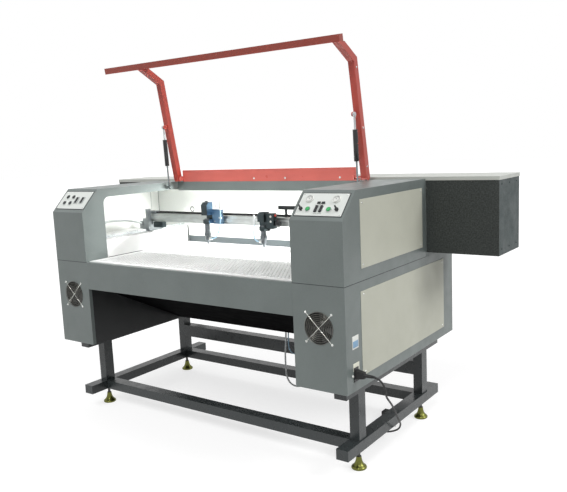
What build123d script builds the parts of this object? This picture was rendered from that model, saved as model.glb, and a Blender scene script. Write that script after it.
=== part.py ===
from build123d import *
from math import atan2, cos, degrees, hypot, radians, sin, tan
import os

# A gantry laser cutter with two heads on a welded stand, its lid frame standing open.
# Lengths are millimetres. +X is to the right, +Y to the back and +Z up. While the pieces are made,
# X is 0 in the middle of the cabinet, Y is 0 on its front face and Z is 0 on the floor.

# Fits shared by all pieces
cut_over = 1.0
run_gap = 0.4
pin_gap = 0.05
weld_lap = 0.5

# Cabinet sheet metal
sheet = 2.0
cabinet_width = 1514.0
cabinet_depth = 929.0
pedestal_bottom = 348.0
seam_height = 723.0
upper_height = 315.0
slope_height = 96.0
slope_depth = 94.0
left_tower_width = 205.0
right_tower_width = 211.0
tower_depth = 122.0
apron_height = 120.0
apron_flange = 15.0
roof_flange = 38.0
roof_corner = 30.0
vent_count = 6
vent_width = 120.0
vent_height = 7.0
vent_pitch = 22.0
vent_drop = 90.0

# Service panels on the cabinet's sides
panel_sheet = 1.5
panel_lap = 15.0
lower_panel_front = 108.0
lower_panel_rear_margin = 100.0
lower_panel_foot_margin = 40.0
lower_panel_head_margin = 35.0
upper_panel_front = 117.0
upper_panel_rear_margin = 40.0
upper_panel_foot_margin = 43.0
upper_panel_head_margin = 34.0

# Housing of the laser tubes across the back, with a box past each side
housing_front = 660.0
housing_depth = 247.0
extension_length = 296.0
extension_lift = 17.0
cover_rise = 8.0
cover_skirt = 15.0
channel_depth = 58.0
channel_height = 44.0
end_window_margin = 30.0

# Laser tubes
tube_radius_share = 0.162
tube_length = 1700.0
tube_end_radius = 22.0
tube_end_length = 60.0
tube_row_share = 0.291
clamp_width = 40.0
clamp_wall = 9.0
clamp_spread_share = 0.31

# Bed, hopper under it and exhaust
bed_rise = 3.0
bed_thickness = 20.0
bed_side_gap = 1.0
bed_rim = 22.0
bed_step = 2.0
bed_cell_columns = 22
bed_cell_rows = 5
bed_rib = 6.0
hopper_front_height = 86.0
hopper_floor_length = 220.0
hopper_rear_reach = 120.0
hopper_ledge = 16.0
exhaust_radius = 74.0
exhaust_length = 70.0
exhaust_wall = 1.5
exhaust_height_share = 0.48
exhaust_flange = 12.0

# Supports and rails of the gantry
support_height = 87.0
rail_inset = 28.0
rail_width = 15.0
rail_height = 14.0
rail_front_gap = 10.0
rail_end_gap = 8.0

# Gantry
gantry_y = 440.0
beam_depth = 40.0
beam_height = 37.0
beam_wall = 3.0
beam_seat = 14.0
carriage_width = 40.0
carriage_length = 90.0
carriage_lift = 2.0
carriage_crown = 18.0
beam_overhang = 22.0
x_rail_depth = 8.0
x_rail_height = 12.0
x_rail_margin = 40.0
motor_side = 57.0
motor_length = 50.0
pulley_radius = 11.0
pulley_height = 14.0
belt_width = 8.0
belt_thickness = 1.6
belt_lift = 3.0
mirror_post = 30.0
mirror_height = 46.0

# Cutting heads
left_head_x = -172.0
right_head_x = 143.0
slider_width = 50.0
slider_height = 32.0
slider_wall = 8.0
plate_thickness = 6.0
left_plate_width = 60.0
left_plate_height = 63.0
right_plate_width = 65.0
right_plate_height = 75.0
head_block = 34.0
head_block_lift = 25.5
head_block_height = 57.0
right_head_drop = 20.0
right_block_height = 40.0
clamp_ring_radius = 18.0
clamp_ring_height = 18.0
clamp_ring_drop = 20.0
head_bore_radius = 6.0
lens_tube_radius = 12.0
lens_tube_rise = 4.0
lens_tube_length = 98.0
lens_ring_radius = 15.5
lens_ring_lift = 20.0
lens_ring_height = 14.0
nozzle_length = 17.0
nozzle_tip_radius = 3.5
nozzle_root_radius = 9.0
nozzle_bore_radius = 1.2

# Control panels on the two slopes
panel_plate_width = 186.0
panel_plate_height = 97.0
panel_plate_thickness = 1.5
panel_foot = 20.0
aperture_margin = 7.0
button_radius = 8.0
button_bezel = 3.0
bezel_height = 3.0
button_rise = 3.2
button_travel = 3.0
stem_radius = 4.5
flange_radius = 6.5
flange_thickness = 2.0
rocker_width = 9.0
rocker_length = 27.0
rocker_depth = 5.0
rocker_edge = 4.0
rocker_dip = 2.0
rocker_pin_radius = 1.5
rocker_pin_reach = 1.5
rocker_bezel = 3.0
rocker_slack = 1.6
knob_radius = 7.0
knob_skirt = 4.0
knob_grip_length = 20.0
knob_grip_width = 5.0
knob_turn_angle = 35.0
knob_grip_height = 9.0
meter_radius = 15.0
meter_height = 6.0
meter_rim = 1.5
left_button_u_shares = (0.21, 0.42)
left_button_v_shares = (0.31, 0.66)
left_rocker_u_shares = (0.59, 0.79)
left_rocker_v_share = 0.48
right_knob_u_shares = (0.09, 0.86)
right_knob_v_share = 0.29
right_button_u_shares = (0.25, 0.70)
right_button_v_share = 0.27
right_rocker_u_shares = (0.43, 0.535)
right_rocker_v_share = 0.28
right_meter_u_shares = (0.20, 0.78)
right_meter_v_share = 0.72

# Fans behind the fronts of the pedestals
fan_lift = 224.0
fan_side = 120.0
fan_depth = 25.0
fan_bore_radius = 57.5
fan_hole_spacing = 104.8
fan_hub_radius = 20.0
fan_back = 4.0
fan_strut = 7.0
fan_shaft_radius = 2.5
fan_shaft_length = 14.0
rotor_front_gap = 4.0
blade_count = 7
blade_root_chord = 13.0
blade_tip_chord = 25.0
blade_root_pitch = 40.0
blade_tip_pitch = 60.0
blade_thickness = 1.8
blade_tip_gap = 2.5
blade_root_sink = 2.5
guard_wire = 2.4
guard_radius = 57.0
guard_rings = 8
guard_eye_radius = 5.0
guard_eye_hole = 2.2

# Stand of welded tube
leg_x = 691.0
front_leg_y = 178.0
rear_leg_y = 725.0
leg_width = 40.0
leg_depth = 50.0
rail_tube_width = 50.0
lower_rail_bottom = 76.0
lower_rail_height = 40.0
upper_rail_height = 45.0
stretcher_bottom = 197.0
stretcher_height = 60.0
stand_front = 60.0
stand_back = 856.0
stand_wall = 2.5

# Levelling feet
foot_radius = 29.0
foot_bell_top = 48.0
foot_flare_shares = (
    (0.95, 0.0),
    (1.0, 0.05),
    (1.0, 0.13),
    (0.93, 0.2),
    (0.76, 0.28),
    (0.59, 0.4),
    (0.465, 0.56),
    (0.38, 0.77),
    (0.33, 1.0),
)
foot_stud_radius = 6.0
foot_stud_reach = 25.0
foot_nut_height = 9.0
foot_nut_radius = 11.0

# Lid frame
lid_tube = 28.0
lid_wall = 2.0
lid_side_gap = 6.0
hinge_setback = 17.0
hinge_rise = 16.0
lid_arm = 470.0
lid_nose = 118.0
lid_bend_angle = 51.0
lid_open_angle = 80.2
lid_overhang = 235.0
hinge_pin_radius = 5.0
hinge_rail_height = 56.0
hinge_rail_foot = 38.0
hinge_rail_sheet = 4.0
hinge_rail_right_gap = 33.0
hinge_rail_left_gap = 3.0
hinge_lug = 6.0
hinge_lug_radius = 11.0

# Gas struts of the lid
strut_reach = 262.0
strut_offset = 33.0
strut_foot_setback = 65.0
strut_foot_drop = 24.0
barrel_radius = 10.0
barrel_bore_radius = 4.5
barrel_length = 126.0
barrel_end_wall = 8.0
shank_length = 60.0
shank_radius = 4.0
rod_radius = 4.0
rod_length = 125.0
strut_eye_radius = 9.0
strut_eye_thickness = 8.0
strut_pin_radius = 4.0
strut_boss_radius = 8.0
strut_lug = 5.0

# Electronics inside the pedestals
supply_width = 120.0
supply_depth = 320.0
supply_height = 170.0
supply_front = 300.0
supply_fins = 8
supply_fin = 4.0
supply_fin_height = 10.0

# Mains inlet, lead and plug
inlet_y = 61.0
inlet_lift = 60.0
inlet_width = 30.0
inlet_height = 50.0
inlet_flange = 3.0
inlet_body_margin = 3.0
inlet_depth = 24.0
connector_width = 22.0
connector_height = 30.0
connector_length = 32.0
connector_taper_share = 0.72
relief_length = 24.0
relief_radius = 6.5
lead_radius = 3.5
lead_straight = 11.0
lead_bend_share = 0.45
coil_x = 596.0
coil_y = 587.0
coil_outer_radius = 43.5
coil_width = 16.0
coil_height = 14.6
plug_aside = 36.0
plug_ahead = 32.0
plug_width = 34.0
plug_height = 26.0
plug_length = 38.0
plug_pin_width = 6.0
plug_pin_thickness = 2.0
plug_pin_length = 18.0
plug_pin_spread = 14.0

# Places worked out from the sizes above
half_width = cabinet_width / 2
left_inner = left_tower_width - half_width
right_inner = half_width - right_tower_width
left_middle = (left_inner - half_width) / 2
right_middle = (right_inner + half_width) / 2
cabinet_top = seam_height + upper_height
slope_foot = cabinet_top - slope_height
slope_angle = atan2(slope_height, slope_depth)
slope_up = Vector(0, cos(slope_angle), sin(slope_angle))
slope_out = Vector(0, -sin(slope_angle), cos(slope_angle))
apron_bottom = seam_height - apron_height
upper_back = housing_front - sheet - cut_over
housing_back = housing_front + housing_depth
extension_bottom = seam_height + extension_lift
cover_top = cabinet_top + cover_rise
wall_top = cover_top - sheet
beam_front = housing_front - channel_depth
beam_top = cabinet_top - sheet
beam_bottom = beam_top - channel_height
tube_radius = housing_depth * tube_radius_share
tube_inset = housing_depth * tube_row_share
tube_axis_height = (seam_height + wall_top) / 2
bed_top = seam_height + bed_rise
bed_bottom = bed_top - bed_thickness
hopper_knee = bed_bottom - hopper_front_height
hopper_back = housing_front + hopper_rear_reach
hopper_floor_front = hopper_back - hopper_floor_length
exhaust_height = pedestal_bottom + exhaust_height_share * (bed_bottom - pedestal_bottom)
fan_height = pedestal_bottom + fan_lift
housing_reach = half_width + extension_length
support_top = seam_height + support_height
rail_front = tower_depth + rail_front_gap
carriage_top = support_top + rail_height + carriage_crown
beam_foot = carriage_top + beam_seat
beam_left = left_inner - rail_inset - beam_overhang
beam_right = right_inner + rail_inset + beam_overhang
beam_front_face = gantry_y - beam_depth / 2
rail_axis_z = beam_foot + beam_height / 2
slider_back = beam_front_face - run_gap
slider_front = beam_front_face - x_rail_depth - slider_wall
plate_front = slider_front - plate_thickness
head_y = plate_front - head_block / 2
head_block_foot = rail_axis_z + head_block_lift
head_block_top = head_block_foot + head_block_height
clamp_ring_top = head_block_foot - clamp_ring_drop
clamp_ring_foot = clamp_ring_top - clamp_ring_height
lens_tube_top = clamp_ring_top + lens_tube_rise
lens_tube_foot = lens_tube_top - lens_tube_length
lens_ring_foot = lens_tube_foot + lens_ring_lift
nozzle_tip = lens_tube_foot - nozzle_length
hinge_y = beam_front - hinge_setback
hinge_z = beam_top + hinge_rise
strut_foot_y = hinge_y - strut_foot_setback
strut_foot_z = cabinet_top - strut_foot_drop
left_arm_x = left_inner + lid_side_gap + lid_tube / 2
right_arm_x = right_inner - lid_side_gap - lid_tube / 2
upper_rail_bottom = pedestal_bottom - upper_rail_height
lower_rail_top = lower_rail_bottom + lower_rail_height
inlet_z = pedestal_bottom + inlet_lift

# Route of the mains lead after its straight run out of the connector, in the same frame
lead_route = [
    (842.0, 62.0, 404.0),
    (854.0, 64.0, 394.0),
    (860.5, 67.5, 380.0),
    (861.0, 74.5, 363.0),
    (857.0, 88.0, 336.0),
    (850.0, 115.5, 314.0),
    (838.0, 164.5, 278.5),
    (822.0, 217.0, 235.5),
    (802.0, 276.5, 188.0),
    (780.0, 339.0, 139.5),
    (761.0, 386.0, 111.0),
    (746.0, 414.0, 87.0),
    (728.0, 437.0, 63.0),
    (703.0, 455.0, 43.0),
    (672.0, 470.0, 26.0),
    (641.0, 486.0, 12.5),
    (615.0, 503.0, 5.0),
    (594.0, 523.0, 3.6),
    (577.5, 543.5, 3.6),
    (563.0, 564.5, 3.6),
]


def block(x0, x1, y0, y1, z0, z1):
    """A box between two corners."""
    middle = Pos((x0 + x1) / 2, (y0 + y1) / 2, (z0 + z1) / 2)
    return middle * Box(x1 - x0, y1 - y0, z1 - z0)


def prism(points, x0, x1):
    """An outline in Y and Z, drawn out along X."""
    face = Plane.YZ.offset(x0) * Polygon(*points, align=None)
    return extrude(face, amount=x1 - x0, dir=(1, 0, 0))


def rod_x(x0, x1, y, z, radius):
    return Pos((x0 + x1) / 2, y, z) * Rot(0, 90, 0) * Cylinder(radius, x1 - x0)


def rod_y(x, y0, y1, z, radius):
    return Pos(x, (y0 + y1) / 2, z) * Rot(90, 0, 0) * Cylinder(radius, y1 - y0)


def rod_z(x, y, z0, z1, radius):
    return Pos(x, y, (z0 + z1) / 2) * Cylinder(radius, z1 - z0)


def group(pieces):
    """Several separate solids that share one node."""
    return Compound(children=list(pieces))


def tower_span(side):
    """The X limits of the left (-1) or right (1) tower, lowest first."""
    if side < 0:
        return -half_width, left_inner
    return right_inner, half_width


def outer_wall(side):
    """The X limits of a tower's outer sheet, widened for a cut through it."""
    face = side * half_width
    return sorted((face - side * 2 * sheet, face + side * cut_over))


def inner_wall(side):
    """The X limits of a tower's inner sheet, widened for a cut through it."""
    low, high = tower_span(side)
    face = high if side < 0 else low
    return sorted((face + side * 2 * sheet, face - side * cut_over))


def lower_window(margin):
    """Y and Z limits of the lower side panel, drawn in by a margin."""
    front = lower_panel_front + margin
    back = cabinet_depth - lower_panel_rear_margin - margin
    foot = pedestal_bottom + lower_panel_foot_margin + margin
    head = seam_height - lower_panel_head_margin - margin
    return front, back, foot, head


def upper_window(margin):
    """Y and Z limits of the upper side panel, drawn in by a margin."""
    front = upper_panel_front + margin
    back = housing_front - upper_panel_rear_margin - margin
    foot = seam_height + upper_panel_foot_margin + margin
    head = cabinet_top - upper_panel_head_margin - margin
    return front, back, foot, head


def lower_cabinet(side, middle):
    """A closed pedestal box with its fan hole, side window and rear vents."""
    low, high = tower_span(side)
    shell = block(low, high, 0, cabinet_depth, pedestal_bottom, seam_height)
    shell -= block(
        low + sheet, high - sheet, sheet, cabinet_depth - sheet, pedestal_bottom + sheet, seam_height - sheet
    )
    shell -= rod_y(middle, -cut_over, sheet + cut_over, fan_height, fan_bore_radius)
    shell -= block(*outer_wall(side), *lower_window(panel_lap))
    for row in range(vent_count):
        top = seam_height - vent_drop - row * vent_pitch
        shell -= block(
            middle - vent_width / 2,
            middle + vent_width / 2,
            cabinet_depth - sheet - cut_over,
            cabinet_depth + cut_over,
            top - vent_height,
            top,
        )
    if side > 0:
        shell -= inlet_body(cut_over)
    return shell


def inlet_body(reach):
    """The part of the mains inlet that stands inside the cabinet wall."""
    half = inlet_width / 2 - inlet_body_margin
    tall = inlet_height / 2 - inlet_body_margin
    low, high = half_width - inlet_depth, half_width + reach
    return block(low, high, inlet_y - half, inlet_y + half, inlet_z - tall, inlet_z + tall)


def tower_outline(inset):
    """The side outline of the upper housing, drawn in by an inset at the front and top."""
    foot_step = inset * (1 - sin(slope_angle)) / cos(slope_angle)
    top_step = inset * (1 - cos(slope_angle)) / sin(slope_angle)
    return [
        (inset, seam_height),
        (inset, slope_foot - foot_step),
        (slope_depth + top_step, cabinet_top - inset),
        (upper_back, cabinet_top - inset),
        (upper_back, seam_height),
    ]


def upper_housing(side, plate_x, arm_x):
    """Front face, slope, roof and outer wall of one side, folded round a closed control tower."""
    low, high = tower_span(side)
    shell = prism(tower_outline(0), low, high)
    core = prism(tower_outline(sheet), low + sheet, high - sheet)
    core -= block(low, high, tower_depth - sheet, tower_depth, seam_height, cabinet_top)
    shell -= core
    back = upper_back + cut_over
    shell -= block(*inner_wall(side), tower_depth, back, seam_height - cut_over, roof_opening_top())
    shell -= roof_corner_cut(side)
    shell -= block(*outer_wall(side), *upper_window(panel_lap))
    shell -= panel_aperture(plate_x)
    return shell + strut_boss(side, arm_x)


def strut_boss(side, arm_x):
    """The boss and pin on the roof's inner flange that hold the foot of a gas strut."""
    face = left_inner if side < 0 else right_inner
    seat = arm_x + side * (strut_eye_thickness / 2 + run_gap)
    tip = arm_x - side * (strut_eye_thickness / 2 + sheet)
    boss = sorted((face + side * weld_lap, seat))
    pin = sorted((face, tip))
    body = rod_x(*boss, strut_foot_y, strut_foot_z, strut_boss_radius)
    return body + rod_x(*pin, strut_foot_y, strut_foot_z, strut_pin_radius)


def roof_opening_top():
    """Underside of the roof's inner flange, less the rounded corner."""
    return cabinet_top - roof_flange - roof_corner


def roof_corner_cut(side):
    """The strip above the inner opening, with a rounded corner at the tower."""
    low, high = inner_wall(side)
    corner = tower_depth + roof_corner
    crown = roof_opening_top()
    strip = block(low, high, corner, upper_back + cut_over, crown - cut_over, crown + roof_corner)
    strip += block(low, high, tower_depth, corner + roof_corner, crown - cut_over, crown)
    return strip + rod_x(low, high, corner, crown, roof_corner)


def slope_place(x, along, lift):
    """A plane on the slope: X across, Y up the slope, Z out of it."""
    foot = Vector(x, 0, slope_foot)
    return Plane(origin=foot + slope_up * along + slope_out * lift, x_dir=(1, 0, 0), z_dir=slope_out)


def on_slope(x, along, lift, shape):
    """Moves a shape made round the origin to a place on the slope."""
    return slope_place(x, along, lift).location * shape


def plate_spot(plate_x, u_share, v_share):
    """X and the distance up the slope of a place on a panel plate."""
    left = plate_x - panel_plate_width / 2
    return left + u_share * panel_plate_width, panel_foot + v_share * panel_plate_height


def panel_aperture(plate_x):
    """The opening in the slope behind a panel plate."""
    width = panel_plate_width - 2 * aperture_margin
    height = panel_plate_height - 2 * aperture_margin
    middle = panel_foot + panel_plate_height / 2
    return on_slope(plate_x, middle, 0, Box(width, height, 2 * (sheet + cut_over)))


def disc(radius, low, high):
    """A round piece on the slope's normal, between two lifts."""
    return Pos(0, 0, (low + high) / 2) * Cylinder(radius, high - low)


def slab(width, height, low, high):
    """A square piece on the slope's normal, between two lifts."""
    return Pos(0, 0, (low + high) / 2) * Box(width, height, high - low)


def panel_plate(plate_x, round_spots, rocker_spots):
    """A panel plate with a bezel round each button and rocker."""
    top = panel_plate_thickness
    plate = slab(panel_plate_width, panel_plate_height, 0, top)
    middle = panel_foot + panel_plate_height / 2
    for x, along, radius in round_spots:
        spot = Pos(x - plate_x, along - middle, 0)
        if radius > stem_radius:
            plate += spot * disc(radius + run_gap + button_bezel, top - weld_lap, top + bezel_height)
            plate -= spot * disc(radius + run_gap, top, top + bezel_height + cut_over)
        plate -= spot * disc(stem_radius + run_gap, -cut_over, top + cut_over)
    for x, along in rocker_spots:
        spot = Pos(x - plate_x, along - middle, 0)
        width = rocker_width + 2 * run_gap
        length = rocker_length + 2 * rocker_slack
        rim = 2 * rocker_bezel
        plate += spot * slab(width + rim, length + rim, -rocker_depth, top + bezel_height)
        plate -= spot * slab(width, length, -rocker_depth - cut_over, top + bezel_height + cut_over)
        reach = width / 2 + rocker_pin_reach + run_gap
        plate -= spot * rod_x(-reach, reach, 0, 0, rocker_pin_radius + pin_gap)
    return on_slope(plate_x, middle, 0, plate)


def push_button(x, along):
    """A round cap on a stem, with the flange that stops it under the plate."""
    seat = panel_plate_thickness + button_travel + run_gap
    cap = disc(button_radius, seat, panel_plate_thickness + bezel_height + button_rise)
    cap += disc(stem_radius, -run_gap - flange_thickness, seat + weld_lap)
    cap += disc(flange_radius, -run_gap - flange_thickness, -run_gap)
    return on_slope(x, along, 0, cap)


def rocker(x, along):
    """A rocker with a dished top, on a cross pin in its bezel."""
    half = rocker_length / 2
    crown = panel_plate_thickness + bezel_height + rocker_edge
    floor = -rocker_depth + rocker_slack
    outline = [(-half, floor), (half, floor), (half, crown), (0, crown - rocker_dip), (-half, crown)]
    body = prism(outline, -rocker_width / 2, rocker_width / 2)
    reach = rocker_width / 2 + run_gap + rocker_pin_reach
    body += rod_x(-reach, reach, 0, 0, rocker_pin_radius)
    return on_slope(x, along, 0, body)


def knob(x, along):
    """A pointer knob on a shaft through the plate."""
    top = panel_plate_thickness + run_gap
    body = disc(knob_radius, top, top + knob_skirt)
    grip = slab(knob_grip_width, knob_grip_length, top, top + knob_skirt + knob_grip_height)
    body += Rot(0, 0, knob_turn_angle) * grip
    body += disc(stem_radius, -run_gap - flange_thickness, top + weld_lap)
    body += disc(flange_radius, -run_gap - flange_thickness, -run_gap)
    return on_slope(x, along, 0, body)


def meter(x, along):
    """A round dial with a raised rim, flat on the plate."""
    low = panel_plate_thickness
    body = disc(meter_radius, low, low + meter_height)
    body -= disc(meter_radius - meter_rim, low + meter_height - meter_rim, low + meter_height + cut_over)
    return on_slope(x, along, 0, body)


def apron():
    """The folded front sheet between the pedestals."""
    sill = block(left_inner, right_inner, 0, sheet, apron_bottom, seam_height)
    sill += block(left_inner, right_inner, 0, apron_flange, seam_height - sheet, seam_height)
    return sill + block(left_inner, right_inner, 0, apron_flange, apron_bottom, apron_bottom + sheet)


def side_panel(side, window):
    """A flat service panel on the outer face of a cabinet."""
    face = side * half_width
    return block(min(face, face + side * panel_sheet), max(face, face + side * panel_sheet), *window)


def tube_housing():
    """The trough that holds the laser tubes, with the channel beam that carries the lid."""
    low, high = -half_width, half_width
    shell = block(low, high, housing_front, housing_back, seam_height, wall_top)
    shell -= block(
        low + sheet,
        high - sheet,
        housing_front + sheet,
        housing_back - sheet,
        seam_height + sheet,
        wall_top + cut_over,
    )
    shell -= block(
        low - cut_over,
        high + cut_over,
        housing_front + end_window_margin,
        housing_back - end_window_margin,
        extension_bottom + end_window_margin,
        wall_top - end_window_margin,
    )
    left = left_inner + run_gap
    right = right_inner - run_gap
    shell += block(left, right, beam_front, housing_front + weld_lap, beam_bottom, beam_bottom + sheet)
    shell += block(left, right, beam_front, beam_front + sheet, beam_bottom, beam_top)
    return shell + block(left, right, beam_front, upper_back, beam_top - sheet, beam_top)


def extension_box(side):
    """The box past one side that takes the end of the laser tubes."""
    low, high = sorted((side * half_width, side * housing_reach))
    shell = block(low, high, housing_front, housing_back, extension_bottom, wall_top)
    inside_low = low + sheet if side < 0 else low - cut_over
    inside_high = high - sheet if side > 0 else high + cut_over
    return shell - block(
        inside_low,
        inside_high,
        housing_front + sheet,
        housing_back - sheet,
        extension_bottom + sheet,
        wall_top + cut_over,
    )


def housing_cover():
    """The long pan lid over the tube housing and both boxes."""
    reach = housing_reach + sheet
    skirt = cover_top - cover_skirt
    pan = block(-reach, reach, housing_front - sheet, housing_back + sheet, skirt, cover_top)
    return pan - block(
        -housing_reach, housing_reach, housing_front, housing_back, skirt - cut_over, wall_top
    )


def tube_rows():
    """Y of the two laser tubes."""
    return housing_front + tube_inset, housing_back - tube_inset


def laser_tube(y):
    """A glass tube with a narrower neck at each end."""
    half = tube_length / 2
    glass = rod_x(-half, half, y, tube_axis_height, tube_radius)
    for end in (-1, 1):
        low, high = sorted((end * (half - weld_lap), end * (half + tube_end_length)))
        glass += rod_x(low, high, y, tube_axis_height, tube_end_radius)
    return glass


def tube_clamp(x, y):
    """A saddle that stands on the housing floor round one tube."""
    half = clamp_width / 2
    reach = tube_radius + clamp_wall
    foot = seam_height + sheet
    saddle = block(x - half, x + half, y - reach, y + reach, foot, tube_axis_height)
    saddle += rod_x(x - half, x + half, y, tube_axis_height, reach)
    return saddle - rod_x(x - half - cut_over, x + half + cut_over, y, tube_axis_height, tube_radius)


def tube_clamps():
    spread = clamp_spread_share * tube_length
    return [tube_clamp(x, y) for x in (-spread, spread) for y in tube_rows()]


def honeycomb_bed():
    """The perforated cutting bed in its rim, a little below the rim's top."""
    left, right = left_inner + bed_side_gap, right_inner - bed_side_gap
    front, back = apron_flange + bed_side_gap, housing_front - bed_side_gap
    bed = block(left, right, front, back, bed_bottom, bed_top)
    bed -= block(
        left + bed_rim,
        right - bed_rim,
        front + bed_rim,
        back - bed_rim,
        bed_top - bed_step,
        bed_top + cut_over,
    )
    across = (right - left - 2 * bed_rim) / bed_cell_columns
    along = (back - front - 2 * bed_rim) / bed_cell_rows
    cells = [
        block(
            left + bed_rim + column * across + bed_rib / 2,
            left + bed_rim + (column + 1) * across - bed_rib / 2,
            front + bed_rim + row * along + bed_rib / 2,
            front + bed_rim + (row + 1) * along - bed_rib / 2,
            bed_bottom - cut_over,
            bed_top,
        )
        for column in range(bed_cell_columns)
        for row in range(bed_cell_rows)
    ]
    return bed - cells


def hopper_outline(inset):
    """Side outline of the hopper, drawn in by an inset; the top stays at the bed."""
    fall = atan2(hopper_knee - pedestal_bottom, hopper_floor_front - apron_flange)
    front = apron_flange + inset
    floor = pedestal_bottom + inset
    return [
        (front, bed_bottom),
        (front, hopper_knee + inset * (1 - sin(fall)) / cos(fall)),
        (hopper_floor_front + inset * (1 - cos(fall)) / sin(fall), floor),
        (hopper_back - inset, floor),
        (hopper_back - inset, bed_bottom),
    ]


def hopper():
    """The folded hopper under the bed, with ledges for the bed and a hole for the exhaust."""
    left, right = left_inner, right_inner
    shell = prism(hopper_outline(0), left, right)
    shell -= prism(hopper_outline(sheet), left + sheet, right - sheet)
    for low, high in ((left, left + hopper_ledge), (right - hopper_ledge, right)):
        shell += block(low, high, apron_flange, housing_front, bed_bottom - sheet, bed_bottom)
    hole = exhaust_radius - exhaust_wall
    back = hopper_back + cut_over
    return shell - rod_y(exhaust_x(), hopper_back - 2 * sheet, back, exhaust_height, hole)


def exhaust_x():
    """The exhaust stands in the middle of the hopper."""
    return (left_inner + right_inner) / 2


def exhaust_stub():
    """A short flanged duct for a hose, against the back of the hopper."""
    back = hopper_back + exhaust_length
    pipe = rod_y(exhaust_x(), hopper_back, back, exhaust_height, exhaust_radius)
    rim = exhaust_radius + exhaust_flange
    pipe += rod_y(exhaust_x(), hopper_back, hopper_back + sheet, exhaust_height, rim)
    bore = exhaust_radius - exhaust_wall
    return pipe - rod_y(exhaust_x(), hopper_back - cut_over, back + cut_over, exhaust_height, bore)


def rail_support(side):
    """The folded ledge behind a tower that carries a gantry rail."""
    low, high = tower_span(side)
    face = high if side < 0 else low
    wall = sorted((face, face + side * sheet))
    ledge = block(low + sheet, high, tower_depth, housing_front, support_top - sheet, support_top)
    if side > 0:
        ledge = block(low, high - sheet, tower_depth, housing_front, support_top - sheet, support_top)
    return ledge + block(*wall, tower_depth, housing_front, seam_height, support_top)


def rail_x(side):
    """X of the gantry rail on one side."""
    if side < 0:
        return left_inner - rail_inset
    return right_inner + rail_inset


def gantry_rail(side):
    x = rail_x(side)
    half = rail_width / 2
    back = housing_front - rail_end_gap
    return block(x - half, x + half, rail_front, back, support_top, support_top + rail_height)


def carriage(side):
    """The block that runs on a gantry rail and carries one end of the beam."""
    x = rail_x(side)
    half = carriage_width / 2
    low, high = gantry_y - carriage_length / 2, gantry_y + carriage_length / 2
    body = block(x - half, x + half, low, high, support_top + carriage_lift, carriage_top)
    slot = rail_width / 2 + run_gap
    ceiling = support_top + rail_height + run_gap
    body -= block(x - slot, x + slot, low - cut_over, high + cut_over, support_top, ceiling)
    neck = beam_depth / 2
    foot = carriage_top - weld_lap
    return body + block(x - half, x + half, gantry_y - neck, gantry_y + neck, foot, beam_foot)


def mirror_mount():
    """The post on the left carriage that turns the beam along the gantry."""
    x = rail_x(-1)
    front = gantry_y - carriage_length / 2
    back = gantry_y - beam_depth / 2 - x_rail_depth
    half = carriage_width / 2
    neck = carriage_top + mirror_post
    post = block(x - half, x + half, front, back, carriage_top, neck)
    head = block(x - half, x + half, front, back, neck - weld_lap, neck + mirror_height)
    lean = Pos(x - half, (front + back) / 2, neck + mirror_height / 2) * Rot(0, 0, 45)
    return post + (head - lean * Box(carriage_width, carriage_width, mirror_height + 2 * cut_over))


def gantry_beam():
    """The hollow beam across the bed with the head rail on its front face."""
    low, high = gantry_y - beam_depth / 2, gantry_y + beam_depth / 2
    top = beam_foot + beam_height
    tube = block(beam_left, beam_right, low, high, beam_foot, top)
    tube -= block(
        beam_left - cut_over,
        beam_right + cut_over,
        low + beam_wall,
        high - beam_wall,
        beam_foot + beam_wall,
        top - beam_wall,
    )
    half = x_rail_height / 2
    left, right = beam_left + x_rail_margin, beam_right - x_rail_margin
    return tube + block(left, right, low - x_rail_depth, low, rail_axis_z - half, rail_axis_z + half)


def pulley_spots():
    """X of the two belt pulleys on the beam."""
    return beam_left + motor_side / 2, beam_right - motor_side / 2


def drive_motor():
    """The motor behind the right end of the beam."""
    x = pulley_spots()[1]
    top = beam_foot + beam_height
    back = gantry_y + beam_depth / 2
    return block(x - motor_side / 2, x + motor_side / 2, back, back + motor_side, top - motor_length, top)


def drive_belt():
    """A flat belt in a loop on top of the beam, round a pulley at each end."""
    left, right = pulley_spots()
    low = beam_foot + beam_height + belt_lift
    loop = belt_loop(left, right, pulley_radius + belt_thickness, low, low + belt_width)
    return loop - belt_loop(left, right, pulley_radius, low - cut_over, low + belt_width + cut_over)


def belt_loop(left, right, radius, low, high):
    """A stadium between the two pulleys."""
    loop = block(left, right, gantry_y - radius, gantry_y + radius, low, high)
    return loop + rod_z(left, gantry_y, low, high, radius) + rod_z(right, gantry_y, low, high, radius)


def belt_pulley(x):
    """A flanged pulley that stands on the beam."""
    foot = beam_foot + beam_height
    wheel = rod_z(x, gantry_y, foot, foot + pulley_height, pulley_radius - pin_gap)
    return wheel + rod_z(x, gantry_y, foot, foot + belt_lift - run_gap, pulley_radius + 2 * belt_thickness)


def slider(x):
    """The block behind a head plate that runs on the head rail."""
    half = slider_width / 2
    tall = slider_height / 2
    body = block(x - half, x + half, slider_front, slider_back, rail_axis_z - tall, rail_axis_z + tall)
    slot = x_rail_height / 2 + run_gap
    return body - block(
        x - half - cut_over,
        x + half + cut_over,
        beam_front_face - x_rail_depth - run_gap,
        slider_back + cut_over,
        rail_axis_z - slot,
        rail_axis_z + slot,
    )


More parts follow.
